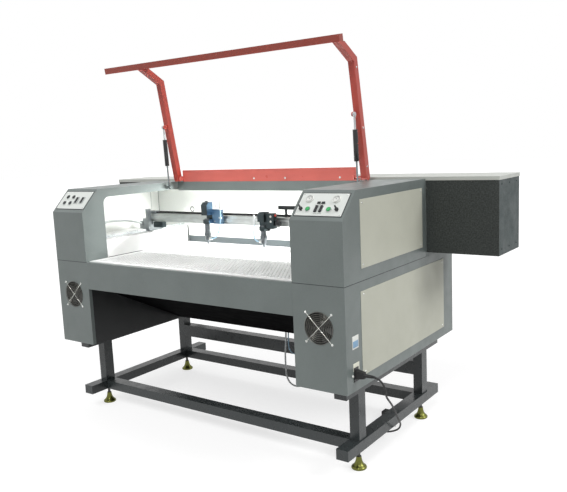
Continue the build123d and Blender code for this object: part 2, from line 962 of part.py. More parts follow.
def head_body(x, drop, height):
    """The mirror block and the split ring that holds the lens tube."""
    half = head_block / 2
    foot = head_block_foot - drop
    top = foot + height
    block_body = block(x - half, x + half, head_y - half, plate_front, foot, top)
    lean = Pos(x, head_y - half, top) * Rot(45, 0, 0)
    block_body -= lean * Box(head_block + 2 * cut_over, half, half)
    block_body -= rod_z(x, head_y, foot - cut_over, top - half, head_bore_radius)
    low, high = clamp_ring_foot - drop, clamp_ring_top - drop
    ring = rod_z(x, head_y, low, high, clamp_ring_radius)
    ring += block(x - half, x + half, head_y, plate_front, low, high)
    ring -= rod_z(x, head_y, low - cut_over, high + cut_over, lens_tube_radius + pin_gap)
    return block_body + ring


def left_head():
    """The left head: a square plate beside its column."""
    x = left_head_x + head_block / 2 + slider_width / 2 - weld_lap
    low = left_head_x - head_block / 2
    high = left_head_x + head_block / 2 + left_plate_width
    foot = clamp_ring_foot
    plate = block(low, high, plate_front, slider_front + weld_lap, foot, foot + left_plate_height)
    plate += block(low, low + head_block, plate_front, slider_front, foot, head_block_top)
    return plate + slider(x) + head_body(left_head_x, 0, head_block_height)


def right_head():
    """The right head: an eight-sided plate behind its column."""
    x = right_head_x
    middle = rail_axis_z
    corner = right_plate_width / 4
    half, tall = right_plate_width / 2, right_plate_height / 2
    outline = [
        (half, tall - corner),
        (half - corner, tall),
        (corner - half, tall),
        (-half, tall - corner),
        (-half, corner - tall),
        (corner - half, -tall),
        (half - corner, -tall),
        (half, corner - tall),
    ]
    face = Plane.XZ.offset(-plate_front) * Pos(x, middle) * Polygon(*outline, align=None)
    plate = extrude(face, amount=plate_thickness + weld_lap, dir=(0, 1, 0))
    top = head_block_foot - right_head_drop + right_block_height
    neck = block(x - head_block / 2, x + head_block / 2, plate_front, slider_front, middle, top)
    return plate + neck + slider(x) + head_body(x, right_head_drop, right_block_height)


def lens_tube(x, drop):
    """The lens tube with its grip ring, nozzle and bore."""
    top = lens_tube_top - drop
    tube = rod_z(x, head_y, lens_tube_foot, top, lens_tube_radius)
    tube += rod_z(x, head_y, lens_ring_foot, lens_ring_foot + lens_ring_height, lens_ring_radius)
    cone = Cone(nozzle_tip_radius, nozzle_root_radius, lens_tube_foot - nozzle_tip)
    tube += Pos(x, head_y, (lens_tube_foot + nozzle_tip) / 2) * cone
    return tube - rod_z(x, head_y, nozzle_tip - cut_over, top + cut_over, nozzle_bore_radius)


def fan_frame(x):
    """A square fan housing behind the sheet, with struts, hub and shaft at its back."""
    half = fan_side / 2
    front, back = sheet, sheet + fan_depth
    frame = block(x - half, x + half, front, back, fan_height - half, fan_height + half)
    frame -= rod_y(x, front - cut_over, back + cut_over, fan_height, fan_bore_radius)
    frame += rod_y(x, back - fan_back, back, fan_height, fan_hub_radius)
    for turn in (0, 90):
        strut = Rot(0, turn, 0) * Box(2 * fan_bore_radius + 2 * weld_lap, fan_back, fan_strut)
        frame += Pos(x, back - fan_back / 2, fan_height) * strut
    return frame + rod_y(x, back - fan_back - fan_shaft_length, back - fan_back, fan_height, fan_shaft_radius)


def rotor_limits():
    """Y limits of the fan rotor's hub."""
    return sheet + rotor_front_gap, sheet + fan_depth - fan_back - run_gap


def blade(turn):
    """One twisted blade, lofted from the hub to the tip."""
    root_z = fan_hub_radius - blade_root_sink
    tip_z = fan_bore_radius - blade_tip_gap
    root = Rot(0, 0, blade_root_pitch) * Rectangle(blade_thickness, blade_root_chord)
    tip = Rot(0, 0, blade_tip_pitch) * Rectangle(blade_thickness, blade_tip_chord)
    swept = loft([Pos(0, 0, root_z) * root.face(), Pos(0, 0, tip_z) * tip.face()])
    return Rot(0, turn, 0) * swept


def fan_rotor(x):
    """A hub with twisted blades that turns on the fan's shaft."""
    front, back = rotor_limits()
    middle = (front + back) / 2
    rotor = Rot(90, 0, 0) * Cylinder(fan_hub_radius - run_gap, back - front)
    for count in range(blade_count):
        rotor += blade(count * 360 / blade_count)
    deep = fan_shaft_length + run_gap
    bore = Rot(90, 0, 0) * Cylinder(fan_shaft_radius + pin_gap, deep)
    rotor -= Pos(0, (back - front) / 2 - deep / 2 + run_gap, 0) * bore
    return Pos(x, middle, fan_height) * rotor


def wire_ring(radius, thickness):
    """A flat ring of square wire facing the front."""
    half = guard_wire / 2
    ring = Cylinder(radius + half, thickness) - Cylinder(radius - half, thickness + cut_over)
    return Rot(90, 0, 0) * ring


def fan_guard(x):
    """Concentric wire rings on two diagonal wires that end in screw eyes."""
    reach = fan_hole_spacing / 2
    guard = None
    for turn in (45, -45):
        length = hypot(fan_hole_spacing, fan_hole_spacing)
        wire = Pos(0, -guard_wire / 2, 0) * Rot(0, turn, 0) * Box(length, guard_wire, guard_wire)
        guard = wire if guard is None else guard + wire
    for count in range(guard_rings):
        radius = guard_radius * (count + 1) / guard_rings
        guard += Pos(0, weld_lap - 3 * guard_wire / 2, 0) * wire_ring(radius, guard_wire)
    for across in (-reach, reach):
        for up in (-reach, reach):
            guard += rod_y(across, -guard_wire, 0, up, guard_eye_radius)
            guard -= rod_y(across, -guard_wire - cut_over, cut_over, up, guard_eye_hole)
    return Pos(x, 0, fan_height) * guard


def hollow_tube(x0, x1, y0, y1, z0, z1, along):
    """A square tube, open at both ends along one axis."""
    spare = {"x": (1, 0, 0), "y": (0, 1, 0), "z": (0, 0, 1)}[along]
    wall = [stand_wall if not open_end else -cut_over for open_end in spare]
    inner = block(x0 + wall[0], x1 - wall[0], y0 + wall[1], y1 - wall[1], z0 + wall[2], z1 - wall[2])
    return block(x0, x1, y0, y1, z0, z1) - inner


def side_rail(side, foot, height, stud_holes):
    """A rail along one side of the stand, closed at both ends."""
    x = side * leg_x
    half = rail_tube_width / 2
    rail = block(x - half, x + half, stand_front, stand_back, foot, foot + height)
    rail -= block(
        x - half + stand_wall,
        x + half - stand_wall,
        stand_front + stand_wall,
        stand_back - stand_wall,
        foot + stand_wall,
        foot + height - stand_wall,
    )
    for y in (front_leg_y, rear_leg_y):
        low = foot - cut_over if stud_holes else foot + height - stand_wall - cut_over
        high = foot + stand_wall + cut_over if stud_holes else foot + height + cut_over
        rail -= rod_z(x, y, low, high, foot_stud_radius + pin_gap)
    return rail


def cross_rail(y, foot, height, reach):
    """A rail across the stand between the two sides."""
    half = rail_tube_width / 2
    return hollow_tube(-reach, reach, y - half, y + half, foot, foot + height, "x")


def stand_tubes():
    """All tubes of the stand, each a straight piece that meets its neighbours face to face."""
    tubes = []
    for side in (-1, 1):
        tubes.append(side_rail(side, lower_rail_bottom, lower_rail_height, True))
        tubes.append(side_rail(side, upper_rail_bottom, upper_rail_height, False))
        for y in (front_leg_y, rear_leg_y):
            x = side * leg_x
            wide, deep = leg_width / 2, leg_depth / 2
            span = (x - wide, x + wide, y - deep, y + deep)
            tubes.append(hollow_tube(*span, lower_rail_top, upper_rail_bottom, "z"))
    rail_reach = leg_x - rail_tube_width / 2
    leg_reach = leg_x - leg_width / 2
    tubes.append(cross_rail(front_leg_y, lower_rail_bottom, lower_rail_height, rail_reach))
    tubes.append(cross_rail(rear_leg_y, lower_rail_bottom, lower_rail_height, rail_reach))
    tubes.append(cross_rail(rear_leg_y, upper_rail_bottom, upper_rail_height, rail_reach))
    tubes.append(cross_rail(rear_leg_y, stretcher_bottom, stretcher_height, leg_reach))
    return tubes


def foot(side, y):
    """A bell foot on a stud that screws into the lower rail."""
    outline = [
        (0, 0),
        *[(foot_radius * out, foot_bell_top * up) for out, up in foot_flare_shares],
        (foot_stud_radius, foot_bell_top),
        (foot_stud_radius, lower_rail_bottom + foot_stud_reach),
        (0, lower_rail_bottom + foot_stud_reach),
    ]
    turned = revolve(Plane.XZ * Polygon(*outline, align=None), Axis.Z)
    nut = extrude(RegularPolygon(foot_nut_radius, 6), amount=foot_nut_height)
    turned += Pos(0, 0, lower_rail_bottom - run_gap - foot_nut_height) * nut
    return Pos(side * leg_x, y, 0) * turned


def lid_points(height):
    """Knee and nose of the lid's middle line, shifted square to it, with the lid laid flat.

    The nose is cut upright there, along the back of the front bar.
    """
    bend = radians(lid_bend_angle)
    knee = (hinge_y - lid_arm - height * tan(bend / 2), hinge_z + height)
    nose_y = hinge_y - lid_arm - lid_nose * cos(bend)
    return knee, (nose_y, knee[1] - (knee[0] - nose_y) * tan(bend))


def arm_piece(x, inset, part):
    """One straight length of a lid arm, mitred at the knee; inset gives its bore."""
    half = lid_tube / 2 - inset
    upper_knee, upper_nose = lid_points(half)
    lower_knee, lower_nose = lid_points(-half)
    if part == "arm":
        outline = [(hinge_y, hinge_z + half), upper_knee, lower_knee, (hinge_y, hinge_z - half)]
    else:
        outline = [upper_knee, upper_nose, lower_nose, lower_knee]
    wide = lid_tube / 2 - inset
    return prism(outline, x - wide, x + wide)


def lid_arm_tube(side, x):
    """The long arm with its rounded hinge end, pin bore and strut lug."""
    tube = arm_piece(x, 0, "arm") - arm_piece(x, lid_wall, "arm")
    half = lid_tube / 2
    tube += rod_x(x - half, x + half, hinge_y, hinge_z, half)
    tube -= rod_x(x - half - cut_over, x + half + cut_over, hinge_y, hinge_z, hinge_pin_radius + pin_gap)
    y = hinge_y - strut_reach
    z = hinge_z - strut_offset
    near = x - side * (strut_eye_thickness / 2 + run_gap)
    span = sorted((near, near - side * strut_lug))
    lug = rod_x(*span, y, z, strut_eye_radius)
    lug += block(*span, y - strut_eye_radius, y + strut_eye_radius, z, hinge_z - half + lid_wall)
    return tube + lug


def lid_nose_tube(x):
    """The short arm from the knee to the front bar."""
    return arm_piece(x, 0, "nose") - arm_piece(x, lid_wall, "nose")


def lid_bar():
    """The front bar, which runs past the left arm."""
    half = lid_tube / 2
    low = left_arm_x - half - lid_overhang
    high = right_arm_x + half
    _, nose = lid_points(0)
    bar = Box(high - low, lid_tube, lid_tube)
    bar -= Box(high - low - 2 * lid_wall, lid_tube - 2 * lid_wall, lid_tube - 2 * lid_wall)
    drain = Pos(0, 0, -half) * Cylinder(lid_wall, 2 * lid_wall + 2 * cut_over)
    return Pos((low + high) / 2, nose[0] - half, nose[1]) * (bar - drain)


def opened(shape):
    """Turns a piece of the flat lid up about the hinge to where the lid stands."""
    about = Pos(0, hinge_y, hinge_z)
    return about * Rot(-lid_open_angle, 0, 0) * Pos(0, -hinge_y, -hinge_z) * shape


def lid_tubes():
    """The lid's tubes, standing open."""
    tubes = [lid_bar()]
    for side, x in ((-1, left_arm_x), (1, right_arm_x)):
        tubes.append(lid_arm_tube(side, x))
        tubes.append(lid_nose_tube(x))
    return [opened(tube) for tube in tubes]


def hinge_rail():
    """The angle on the rear beam with a lug and pin for each arm."""
    left = left_arm_x + lid_tube / 2 + hinge_rail_left_gap
    right = right_arm_x - lid_tube / 2 - hinge_rail_right_gap
    back = beam_front + hinge_rail_sheet
    rail = block(left, right, beam_front, back, beam_top, beam_top + hinge_rail_height)
    ledge = beam_front + hinge_rail_foot
    rail += block(left, right, beam_front, ledge, beam_top, beam_top + hinge_rail_sheet)
    for low in (left, right - hinge_lug):
        rail += rod_x(low, low + hinge_lug, hinge_y, hinge_z, hinge_lug_radius)
        foot_z, head_z = hinge_z - hinge_lug_radius, hinge_z + hinge_lug_radius
        rail += block(low, low + hinge_lug, hinge_y, back, foot_z, head_z)
    reach = lid_tube / 2
    rail += rod_x(left_arm_x - reach, left + hinge_lug, hinge_y, hinge_z, hinge_pin_radius)
    return rail + rod_x(right - hinge_lug, right_arm_x + reach, hinge_y, hinge_z, hinge_pin_radius)


def strut_head():
    """Y and Z of the strut's upper pivot with the lid open."""
    angle = radians(lid_open_angle)
    y = hinge_y - strut_reach * cos(angle) - strut_offset * sin(angle)
    z = hinge_z + strut_reach * sin(angle) - strut_offset * cos(angle)
    return y, z


def strut_length():
    """Distance between a strut's pivots with the lid open."""
    y, z = strut_head()
    return hypot(y - strut_foot_y, z - strut_foot_z)


def on_strut(x, shape):
    """Stands a strut piece, made upwards from the origin, on its lower pivot."""
    y, z = strut_head()
    lean = degrees(atan2(strut_foot_y - y, z - strut_foot_z))
    return Pos(x, strut_foot_y, strut_foot_z) * Rot(lean, 0, 0) * shape


def strut_rod(x):
    """The strut's rod with the eye on its lower pivot."""
    half = strut_eye_thickness / 2
    rod = rod_z(0, 0, 0, rod_length, rod_radius)
    rod += rod_x(-half, half, 0, 0, strut_eye_radius)
    return on_strut(x, rod - rod_x(-half - cut_over, half + cut_over, 0, 0, strut_pin_radius + pin_gap))


def strut_barrel(x):
    """The strut's barrel with its shank and the upper eye beside the lid's lug."""
    top = strut_length()
    crown = top - shank_length
    barrel = rod_z(0, 0, crown - barrel_length, crown, barrel_radius)
    barrel -= rod_z(0, 0, crown - barrel_length - cut_over, crown - barrel_end_wall, barrel_bore_radius)
    barrel += rod_z(0, 0, crown - weld_lap, top, shank_radius)
    half = strut_eye_thickness / 2
    barrel += rod_x(-half, half, 0, top, strut_eye_radius)
    return on_strut(x, barrel)


def power_supply(middle):
    """A finned supply on the floor of a pedestal."""
    half = supply_width / 2
    foot = pedestal_bottom + sheet
    top = foot + supply_height
    back = supply_front + supply_depth
    case = block(middle - half, middle + half, supply_front, back, foot, top)
    pitch = (supply_width - supply_fin) / (supply_fins - 1)
    for count in range(supply_fins):
        low = middle - half + count * pitch
        case += block(low, low + supply_fin, supply_front, back, top - weld_lap, top + supply_fin_height)
    return case


def power_inlet():
    """The appliance inlet in the side of the right pedestal."""
    half, tall = inlet_width / 2, inlet_height / 2
    face = half_width + inlet_flange
    flange = block(half_width, face, inlet_y - half, inlet_y + half, inlet_z - tall, inlet_z + tall)
    return flange + inlet_body(0)


def cord_connector():
    """The moulded connector in the inlet, tapering into its strain relief."""
    front = half_width + inlet_flange
    back = front + connector_length
    shrink = connector_taper_share
    wide, tall = connector_width, connector_height
    near = Plane.YZ.offset(front) * Pos(inlet_y, inlet_z) * Rectangle(wide, tall)
    far = Plane.YZ.offset(back) * Pos(inlet_y, inlet_z) * Rectangle(wide * shrink, tall * shrink)
    body = loft([near.face(), far.face()])
    relief = Pos(back + relief_length / 2, inlet_y, inlet_z) * Rot(0, 90, 0)
    return body + relief * Cone(relief_radius, lead_radius + sheet, relief_length)


def lead_points():
    """The lead's route, starting at the end of the strain relief."""
    start = Vector(half_width + inlet_flange + connector_length + relief_length, inlet_y, inlet_z)
    return [start, start + Vector(lead_straight, 0, 0)] + [Vector(*point) for point in lead_route]


def lead_radii(points):
    """The largest bend that the two runs at each corner allow."""
    radii = []
    for before, corner, after in zip(points, points[1:], points[2:]):
        run = min((corner - before).length, (after - corner).length)
        turn = radians((corner - before).get_angle(after - corner))
        radii.append(lead_bend_share * run / tan(turn / 2))
    return radii


def mains_lead():
    """The mains lead, as straight runs joined by wide arcs."""
    points = lead_points()
    radii = lead_radii(points)
    path = FilletPolyline(*points, radius=radii)
    print("lead length to its coil", round(path.length), "radii", [round(radius) for radius in radii])
    section = Plane(origin=points[0], z_dir=points[1] - points[0]) * Circle(lead_radius)
    return sweep(section, path=path)


def mains_coil():
    """The outer shape of the coil that the rest of the lead is wound into, on the floor inside the stand."""
    ring = Cylinder(coil_outer_radius, coil_height)
    ring -= Cylinder(coil_outer_radius - coil_width, coil_height + 2 * cut_over)
    return Pos(coil_x, coil_y, coil_height / 2) * ring


def mains_plug():
    """The plug beside the coil, lying on the floor with its pins to the back."""
    front = relief_length + plug_length
    cone = Cone(lead_radius + sheet, relief_radius, relief_length)
    plug = Pos(relief_length / 2, 0, 0) * Rot(0, 90, 0) * cone
    broad, tall = plug_width / 2, plug_height / 2
    plug += block(relief_length, front, -broad, broad, -tall, tall)
    for across in (-1, 1):
        middle = across * plug_pin_spread / 2
        half = plug_pin_thickness / 2
        wide = plug_pin_width / 2
        plug += block(front - weld_lap, front + plug_pin_length, middle - half, middle + half, -wide, wide)
    return Pos(coil_x - plug_aside, coil_y + plug_ahead, tall) * Rot(0, 0, 90) * plug


left_round_spots = [
    plate_spot(left_middle, u_share, v_share)
    for v_share in left_button_v_shares
    for u_share in left_button_u_shares
]
left_rocker_spots = [plate_spot(left_middle, u, left_rocker_v_share) for u in left_rocker_u_shares]
right_knob_spots = [plate_spot(right_middle, u, right_knob_v_share) for u in right_knob_u_shares]
right_button_spots = [plate_spot(right_middle, u, right_button_v_share) for u in right_button_u_shares]
right_rocker_spots = [plate_spot(right_middle, u, right_rocker_v_share) for u in right_rocker_u_shares]
right_meter_spots = [plate_spot(right_middle, u, right_meter_v_share) for u in right_meter_u_shares]

# Pieces by node name
nodes = {
    "stand_frame": group(stand_tubes()),
    "left_lower_cabinet": lower_cabinet(-1, left_middle),
    "right_lower_cabinet": lower_cabinet(1, right_middle),
    "left_upper_housing": upper_housing(-1, left_middle, left_arm_x),
    "right_upper_housing": upper_housing(1, right_middle, right_arm_x),
    "front_apron": apron(),
    "tube_housing": tube_housing(),
    "left_extension_box": extension_box(-1),
    "right_extension_box": extension_box(1),
    "housing_cover": housing_cover(),
    "side_panels": group(
        [side_panel(side, window(0)) for side in (-1, 1) for window in (lower_window, upper_window)]
    ),
    "hopper": hopper(),
    "honeycomb_bed": honeycomb_bed(),
    "exhaust_stub": exhaust_stub(),
    "rail_supports": group([rail_support(side) for side in (-1, 1)]),
    "gantry_rails": group([gantry_rail(side) for side in (-1, 1)]),
    "laser_tubes": group([laser_tube(y) for y in tube_rows()] + tube_clamps()),
    "power_supplies": group([power_supply(middle) for middle in (left_middle, right_middle)]),
    "fan_frames": group([fan_frame(middle) for middle in (left_middle, right_middle)]),
    "fan_guards": group([fan_guard(middle) for middle in (left_middle, right_middle)]),
    "left_fan_rotor": fan_rotor(left_middle),
    "right_fan_rotor": fan_rotor(right_middle),
    "left_panel_plate": panel_plate(
        left_middle, [(x, along, button_radius) for x, along in left_round_spots], left_rocker_spots
    ),
    "right_panel_plate": panel_plate(
        right_middle,
        [(x, along, button_radius) for x, along in right_button_spots]
        + [(x, along, stem_radius) for x, along in right_knob_spots],
        right_rocker_spots,
    ),
    "panel_meters": group([meter(x, along) for x, along in right_meter_spots]),
    "power_inlet": power_inlet(),
    "cord_connector": cord_connector(),
    "gantry_beam": gantry_beam(),
    "gantry_carriages": group([carriage(-1), carriage(1), mirror_mount()]),
    "belt_drive": group([drive_motor()] + [belt_pulley(x) for x in pulley_spots()]),
    "drive_belt": drive_belt(),
    "left_head": left_head(),
    "right_head": right_head(),
    "left_lens_tube": lens_tube(left_head_x, 0),
    "right_lens_tube": lens_tube(right_head_x, right_head_drop),
    "lid_frame": group(lid_tubes()),
    "hinge_rail": hinge_rail(),
    "left_strut_rod": strut_rod(left_arm_x),
    "right_strut_rod": strut_rod(right_arm_x),
    "left_strut_barrel": strut_barrel(left_arm_x),
    "right_strut_barrel": strut_barrel(right_arm_x),
}
for depth_name, y in (("front", front_leg_y), ("rear", rear_leg_y)):
    for side_name, side in (("left", -1), ("right", 1)):
        nodes[f"{depth_name}_{side_name}_foot"] = foot(side, y)
for count, (x, along) in enumerate(left_round_spots, 1):
    nodes[f"left_button_{count}"] = push_button(x, along)
for count, (x, along) in enumerate(left_rocker_spots, 1):
    nodes[f"left_rocker_{count}"] = rocker(x, along)
for count, (x, along) in enumerate(right_knob_spots, 1):
    nodes[f"right_knob_{count}"] = knob(x, along)
for count, (x, along) in enumerate(right_button_spots, 1):
    nodes[f"right_button_{count}"] = push_button(x, along)
for count, (x, along) in enumerate(right_rocker_spots, 1):
    nodes[f"right_rocker_{count}"] = rocker(x, along)
cord_nodes = {"mains_cord": mains_lead(), "mains_coil": mains_coil(), "mains_plug": mains_plug()}

# The origin goes under the middle of the machine, on the floor
boxes = [piece.bounding_box() for piece in nodes.values()]
origin_x = (min(box.min.X for box in boxes) + max(box.max.X for box in boxes)) / 2
origin_y = (min(box.min.Y for box in boxes) + max(box.max.Y for box in boxes)) / 2
origin_z = min(box.min.Z for box in boxes)
to_origin = Pos(-origin_x, -origin_y, -origin_z)
print("origin", origin_x, origin_y, origin_z)
print("nodes", len(nodes) + len(cord_nodes))

os.makedirs("parts", exist_ok=True)
for name, piece in {**nodes, **cord_nodes}.items():
    export_step(to_origin * piece, f"parts/{name}.step")
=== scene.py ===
from math import cos, pi, radians, sin, sqrt, tau

import bmesh
import bpy
from mathutils import Matrix, Quaternion, Vector


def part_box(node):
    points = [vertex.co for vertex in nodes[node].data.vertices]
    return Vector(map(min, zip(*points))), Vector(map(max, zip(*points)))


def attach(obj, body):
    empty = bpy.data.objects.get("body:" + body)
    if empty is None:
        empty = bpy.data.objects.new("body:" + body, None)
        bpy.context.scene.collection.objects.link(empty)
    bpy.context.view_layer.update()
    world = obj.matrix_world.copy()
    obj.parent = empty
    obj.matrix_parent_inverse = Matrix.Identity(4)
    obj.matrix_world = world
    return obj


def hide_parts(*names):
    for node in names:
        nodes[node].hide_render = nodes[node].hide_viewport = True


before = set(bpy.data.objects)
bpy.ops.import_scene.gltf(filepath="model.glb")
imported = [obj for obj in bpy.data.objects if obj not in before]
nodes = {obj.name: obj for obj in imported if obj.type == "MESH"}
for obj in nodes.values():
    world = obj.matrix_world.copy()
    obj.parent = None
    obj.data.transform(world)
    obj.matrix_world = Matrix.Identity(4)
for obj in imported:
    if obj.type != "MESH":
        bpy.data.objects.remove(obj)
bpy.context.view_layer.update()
scene = bpy.context.scene

# Places are millimetres from the middle of the cabinet's front face, on the floor
front_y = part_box("front_apron")[0].y
side_face = 757
panel_face = 758.5
box_end = 1053
housing_back = 907
pedestal_back = 929
cover_back = 909
rail_face = 602
rear_wall_face = 660
ledge_top = 809
seam_span = (721.6, 723.6)


def at(x, y, z):
    """A place of the machine in the frame's metres."""
    return Vector((x / 1000, y / 1000 + front_y, z / 1000))


def placed(centre, out=(0, 0, 1)):
    """A matrix whose Z points out, at a place in metres."""
    facing = Vector(out).to_track_quat("Z", "Y")
    return Matrix.Translation(centre) @ facing.to_matrix().to_4x4()


# Materials

def srgb(red, green, blue):
    """A display colour as linear values."""
    return tuple((c / 255 / 12.92) if c < 11 else ((c / 255 + 0.055) / 1.055) ** 2.4 for c in (red, green, blue))


def scaled(colour, factor):
    return (*(min(1.0, c * factor) for c in colour), 1.0)


class Finish:
    """A node material, built step by step in object coordinates."""

    def __init__(self, name):
        self.material = bpy.data.materials.new(name)
        self.material.use_nodes = True
        self.tree = self.material.node_tree
        self.shader = self.tree.nodes["Principled BSDF"]
        self.coords = self.node("ShaderNodeTexCoord").outputs["Object"]
        self.split = None

    def node(self, kind, inputs=None, **settings):
        made = self.tree.nodes.new(kind)
        for key, value in settings.items():
            setattr(made, key, value)
        for key, value in (inputs or {}).items():
            if isinstance(value, bpy.types.NodeSocket):
                self.tree.links.new(value, made.inputs[key])
            else:
                made.inputs[key].default_value = value
        return made

    def noise(self, size, detail=2.0, stretch=(1, 1, 1)):
        """Noise whose grains are about size millimetres."""
        place = self.node("ShaderNodeMapping", {"Vector": self.coords, "Scale": stretch}).outputs[0]
        made = self.node("ShaderNodeTexNoise", {"Vector": place, "Scale": 1000 / size, "Detail": detail})
        return made.outputs[0]

    def span(self, value, low, high, to_low=0.0, to_high=1.0):
        names = ("Value", "From Min", "From Max", "To Min", "To Max")
        return self.node("ShaderNodeMapRange", dict(zip(names, (value, low, high, to_low, to_high)))).outputs[0]

    def math(self, operation, one, two):
        return self.node("ShaderNodeMath", {0: one, 1: two}, operation=operation).outputs[0]

    def mix(self, factor, one, two):
        made = self.node("ShaderNodeMix", {0: factor, 6: one, 7: two}, data_type="RGBA")
        return made.outputs[2]

    def inside(self, zone):
        """One inside a box of places of the machine, nought outside; None leaves a side open."""
        if self.split is None:
            self.split = self.node("ShaderNodeSeparateXYZ", {0: self.coords})
        found = None
        for axis, (low, high) in enumerate(zone):
            shift = front_y if axis == 1 else 0.0
            for limit, side in ((low, "GREATER_THAN"), (high, "LESS_THAN")):
                if limit is not None:
                    test = self.math(side, self.split.outputs[axis], limit / 1000 + shift)
                    found = test if found is None else self.math("MULTIPLY", found, test)
        return found

    def filled(self, tone, level, fills, spread=0.12):
        """Other colours inside their zones."""
        for colour, *zones in fills:
            other = self.mix(level, scaled(colour, 1 - spread), scaled(colour, 1 + spread))
            for zone in zones:
                tone = self.mix(self.inside(zone), tone, other)
        return tone

    def edge_wear(self, width, share):
        """Rubbed edges: where a rounded normal leaves the face's own."""
        bevel = self.node("ShaderNodeBevel", {"Radius": width / 1000}, samples=4)
        plain = self.node("ShaderNodeNewGeometry").outputs["Normal"]
        turned = self.node("ShaderNodeVectorMath", {0: bevel.outputs[0], 1: plain}, operation="DOT_PRODUCT")
        edge = self.span(turned.outputs["Value"], 0.995, 0.86)
        patchy = self.span(self.noise(14, 4.0), 0.45, 0.7)
        return self.math("MULTIPLY", self.math("MULTIPLY", edge, patchy), share)

    def bump(self, height, depth):
        made = self.node("ShaderNodeBump", {"Height": height, "Distance": depth / 1000, "Strength": 1.0})
        self.tree.links.new(made.outputs[0], self.shader.inputs["Normal"])

    def link(self, socket, value):
        if isinstance(value, bpy.types.NodeSocket):
            self.tree.links.new(value, self.shader.inputs[socket])
        else:
            self.shader.inputs[socket].default_value = value


def paint(
    name, colour, rough=0.45, grain=1.1, depth=0.05, speckle=0.12, mottle=0.06, wear=0.35, specular=0.5, spread=0.12,
    fills=(),
):
    """Baked powder paint: fine grain, faint mottling and rubbed edges."""
    made = Finish(name)
    made.link("Specular IOR Level", specular)
    broad = made.noise(160, 3.0)
    fine = made.noise(grain, 1.0)
    mottled = made.span(broad, 0.3, 0.7, -mottle, mottle)
    speckled = made.span(fine, 0.3, 0.7, -speckle, speckle)
    level = made.span(made.math("ADD", mottled, speckled), -0.4, 0.4)
    tone = made.filled(made.mix(level, scaled(colour, 0.6), scaled(colour, 1.4)), level, fills, spread)
    if wear:
        rubbed = tuple(0.5 * c + 0.18 for c in colour)
        tone = made.mix(made.edge_wear(2.2, wear), tone, scaled(rubbed, 1.0))
    made.link("Base Color", tone)
    made.link("Roughness", made.span(made.noise(45, 3.0), 0.3, 0.7, rough - 0.07, rough + 0.09))
    made.bump(fine, depth)
    return made.material


def metal(name, colour, rough=0.3, along="X", streak=0.12, grain=0.5, depth=0.01, fills=()):
    """Drawn or turned metal with streaks along one axis."""
    made = Finish(name)
    stretch = [1.0, 1.0, 1.0]
    stretch["XYZ".index(along)] = 0.03
    lines = made.noise(grain, 3.0, stretch)
    cloud = made.span(made.noise(60, 3.0), 0.3, 0.7)
    made.link("Metallic", 1.0)
    tone = made.mix(cloud, scaled(colour, 0.86), scaled(colour, 1.08))
    made.link("Base Color", made.filled(tone, cloud, fills))
    made.link("Roughness", made.span(lines, 0.3, 0.7, max(0.05, rough - streak), rough + streak))
    made.bump(lines, depth)
    return made.material


def plastic(name, colour, rough=0.4, grain=0.6, depth=0.03, dust=0.25):
    """Moulded plastic or rubber with a fine texture and a little dust."""
    made = Finish(name)
    fine = made.noise(grain, 2.0)
    cloud = made.span(made.noise(30, 4.0), 0.45, 0.75, 0.0, dust)
    dusty = tuple(0.8 * c + 0.03 for c in colour)
    made.link("Base Color", made.mix(cloud, scaled(colour, 0.95), scaled(dusty, 1.0)))
    made.link("Roughness", made.span(made.noise(9, 3.0), 0.3, 0.7, rough - 0.08, rough + 0.1))
    made.bump(fine, depth)
    return made.material


def glass(name, colour):
    """Clear tube glass with faint waves."""
    made = Finish(name)
    waves = made.noise(40, 2.0)
    made.link("Base Color", made.mix(waves, scaled(colour, 0.9), scaled(colour, 1.0)))
    made.link("Transmission Weight", 0.92)
    made.link("Roughness", made.span(waves, 0.3, 0.7, 0.02, 0.07))
    made.bump(waves, 0.05)
    return made.material


cabinet_grey = srgb(108, 116, 114)
white = srgb(236, 238, 234)
chamber_walls = (
    white,
    ((-755.6, -553.5), (122.5, 662), (700, 1036.5)),
    ((547.5, 755.6), (122.5, 662), (700, 1036.5)),
)
# Painted shade: the pedestals' inner side faces beside the hopper, darkened for the shade under the machine
painted_pedestal_face_shade = (
    srgb(24, 26, 27),
    ((-553, -545), (17, None), (348, 700)),
    ((540, 547), (17, None), (348, 700)),
)
# Painted shade: the insides of the lower cabinets, seen through the fan holes, made near black for the dark inside
painted_pedestal_inside_shade = (
    srgb(9, 9, 10),
    ((-756.2, -553.2), (1.2, 927.8), (349, 722)),
    ((547.2, 756.2), (1.2, 927.8), (349, 722)),
)
rear_wall = (white, ((-755.6, 755.6), (600, 661), (700, 992.5)))
# Painted shade: a darker band along the foot of the rear wall for the shadow in the gap under it
painted_wall_foot_shade = (srgb(82, 90, 92), ((-755.6, 755.6), (600, 661), (700, 757)))
# Painted shade: the front faces of the extension boxes darker for the shadow that falls on them
painted_box_front_shade = (srgb(42, 46, 44), ((None, None), (655, 660.5), (700, 1031)))

# Cabinet grey, white inside the chamber, with painted shade on the pedestals' inner faces and insides
cabinet_paint = paint(
    "cabinet_paint", cabinet_grey, rough=0.38, fills=(chamber_walls, painted_pedestal_face_shade, painted_pedestal_inside_shade)
)
# Rear wall white, with a painted shade band at its foot
wall_paint = paint("rear_wall_paint", cabinet_grey, fills=(rear_wall, painted_wall_foot_shade))
# Extension boxes, with painted shade on their front faces
box_paint = paint(
    "box_paint", srgb(46, 57, 57), specular=0.4, rough=0.55, grain=6.0, speckle=0.3, spread=0.7, fills=(painted_box_front_shade,)
)
cover_paint = paint("cover_paint", srgb(184, 187, 181), rough=0.4, speckle=0.05)
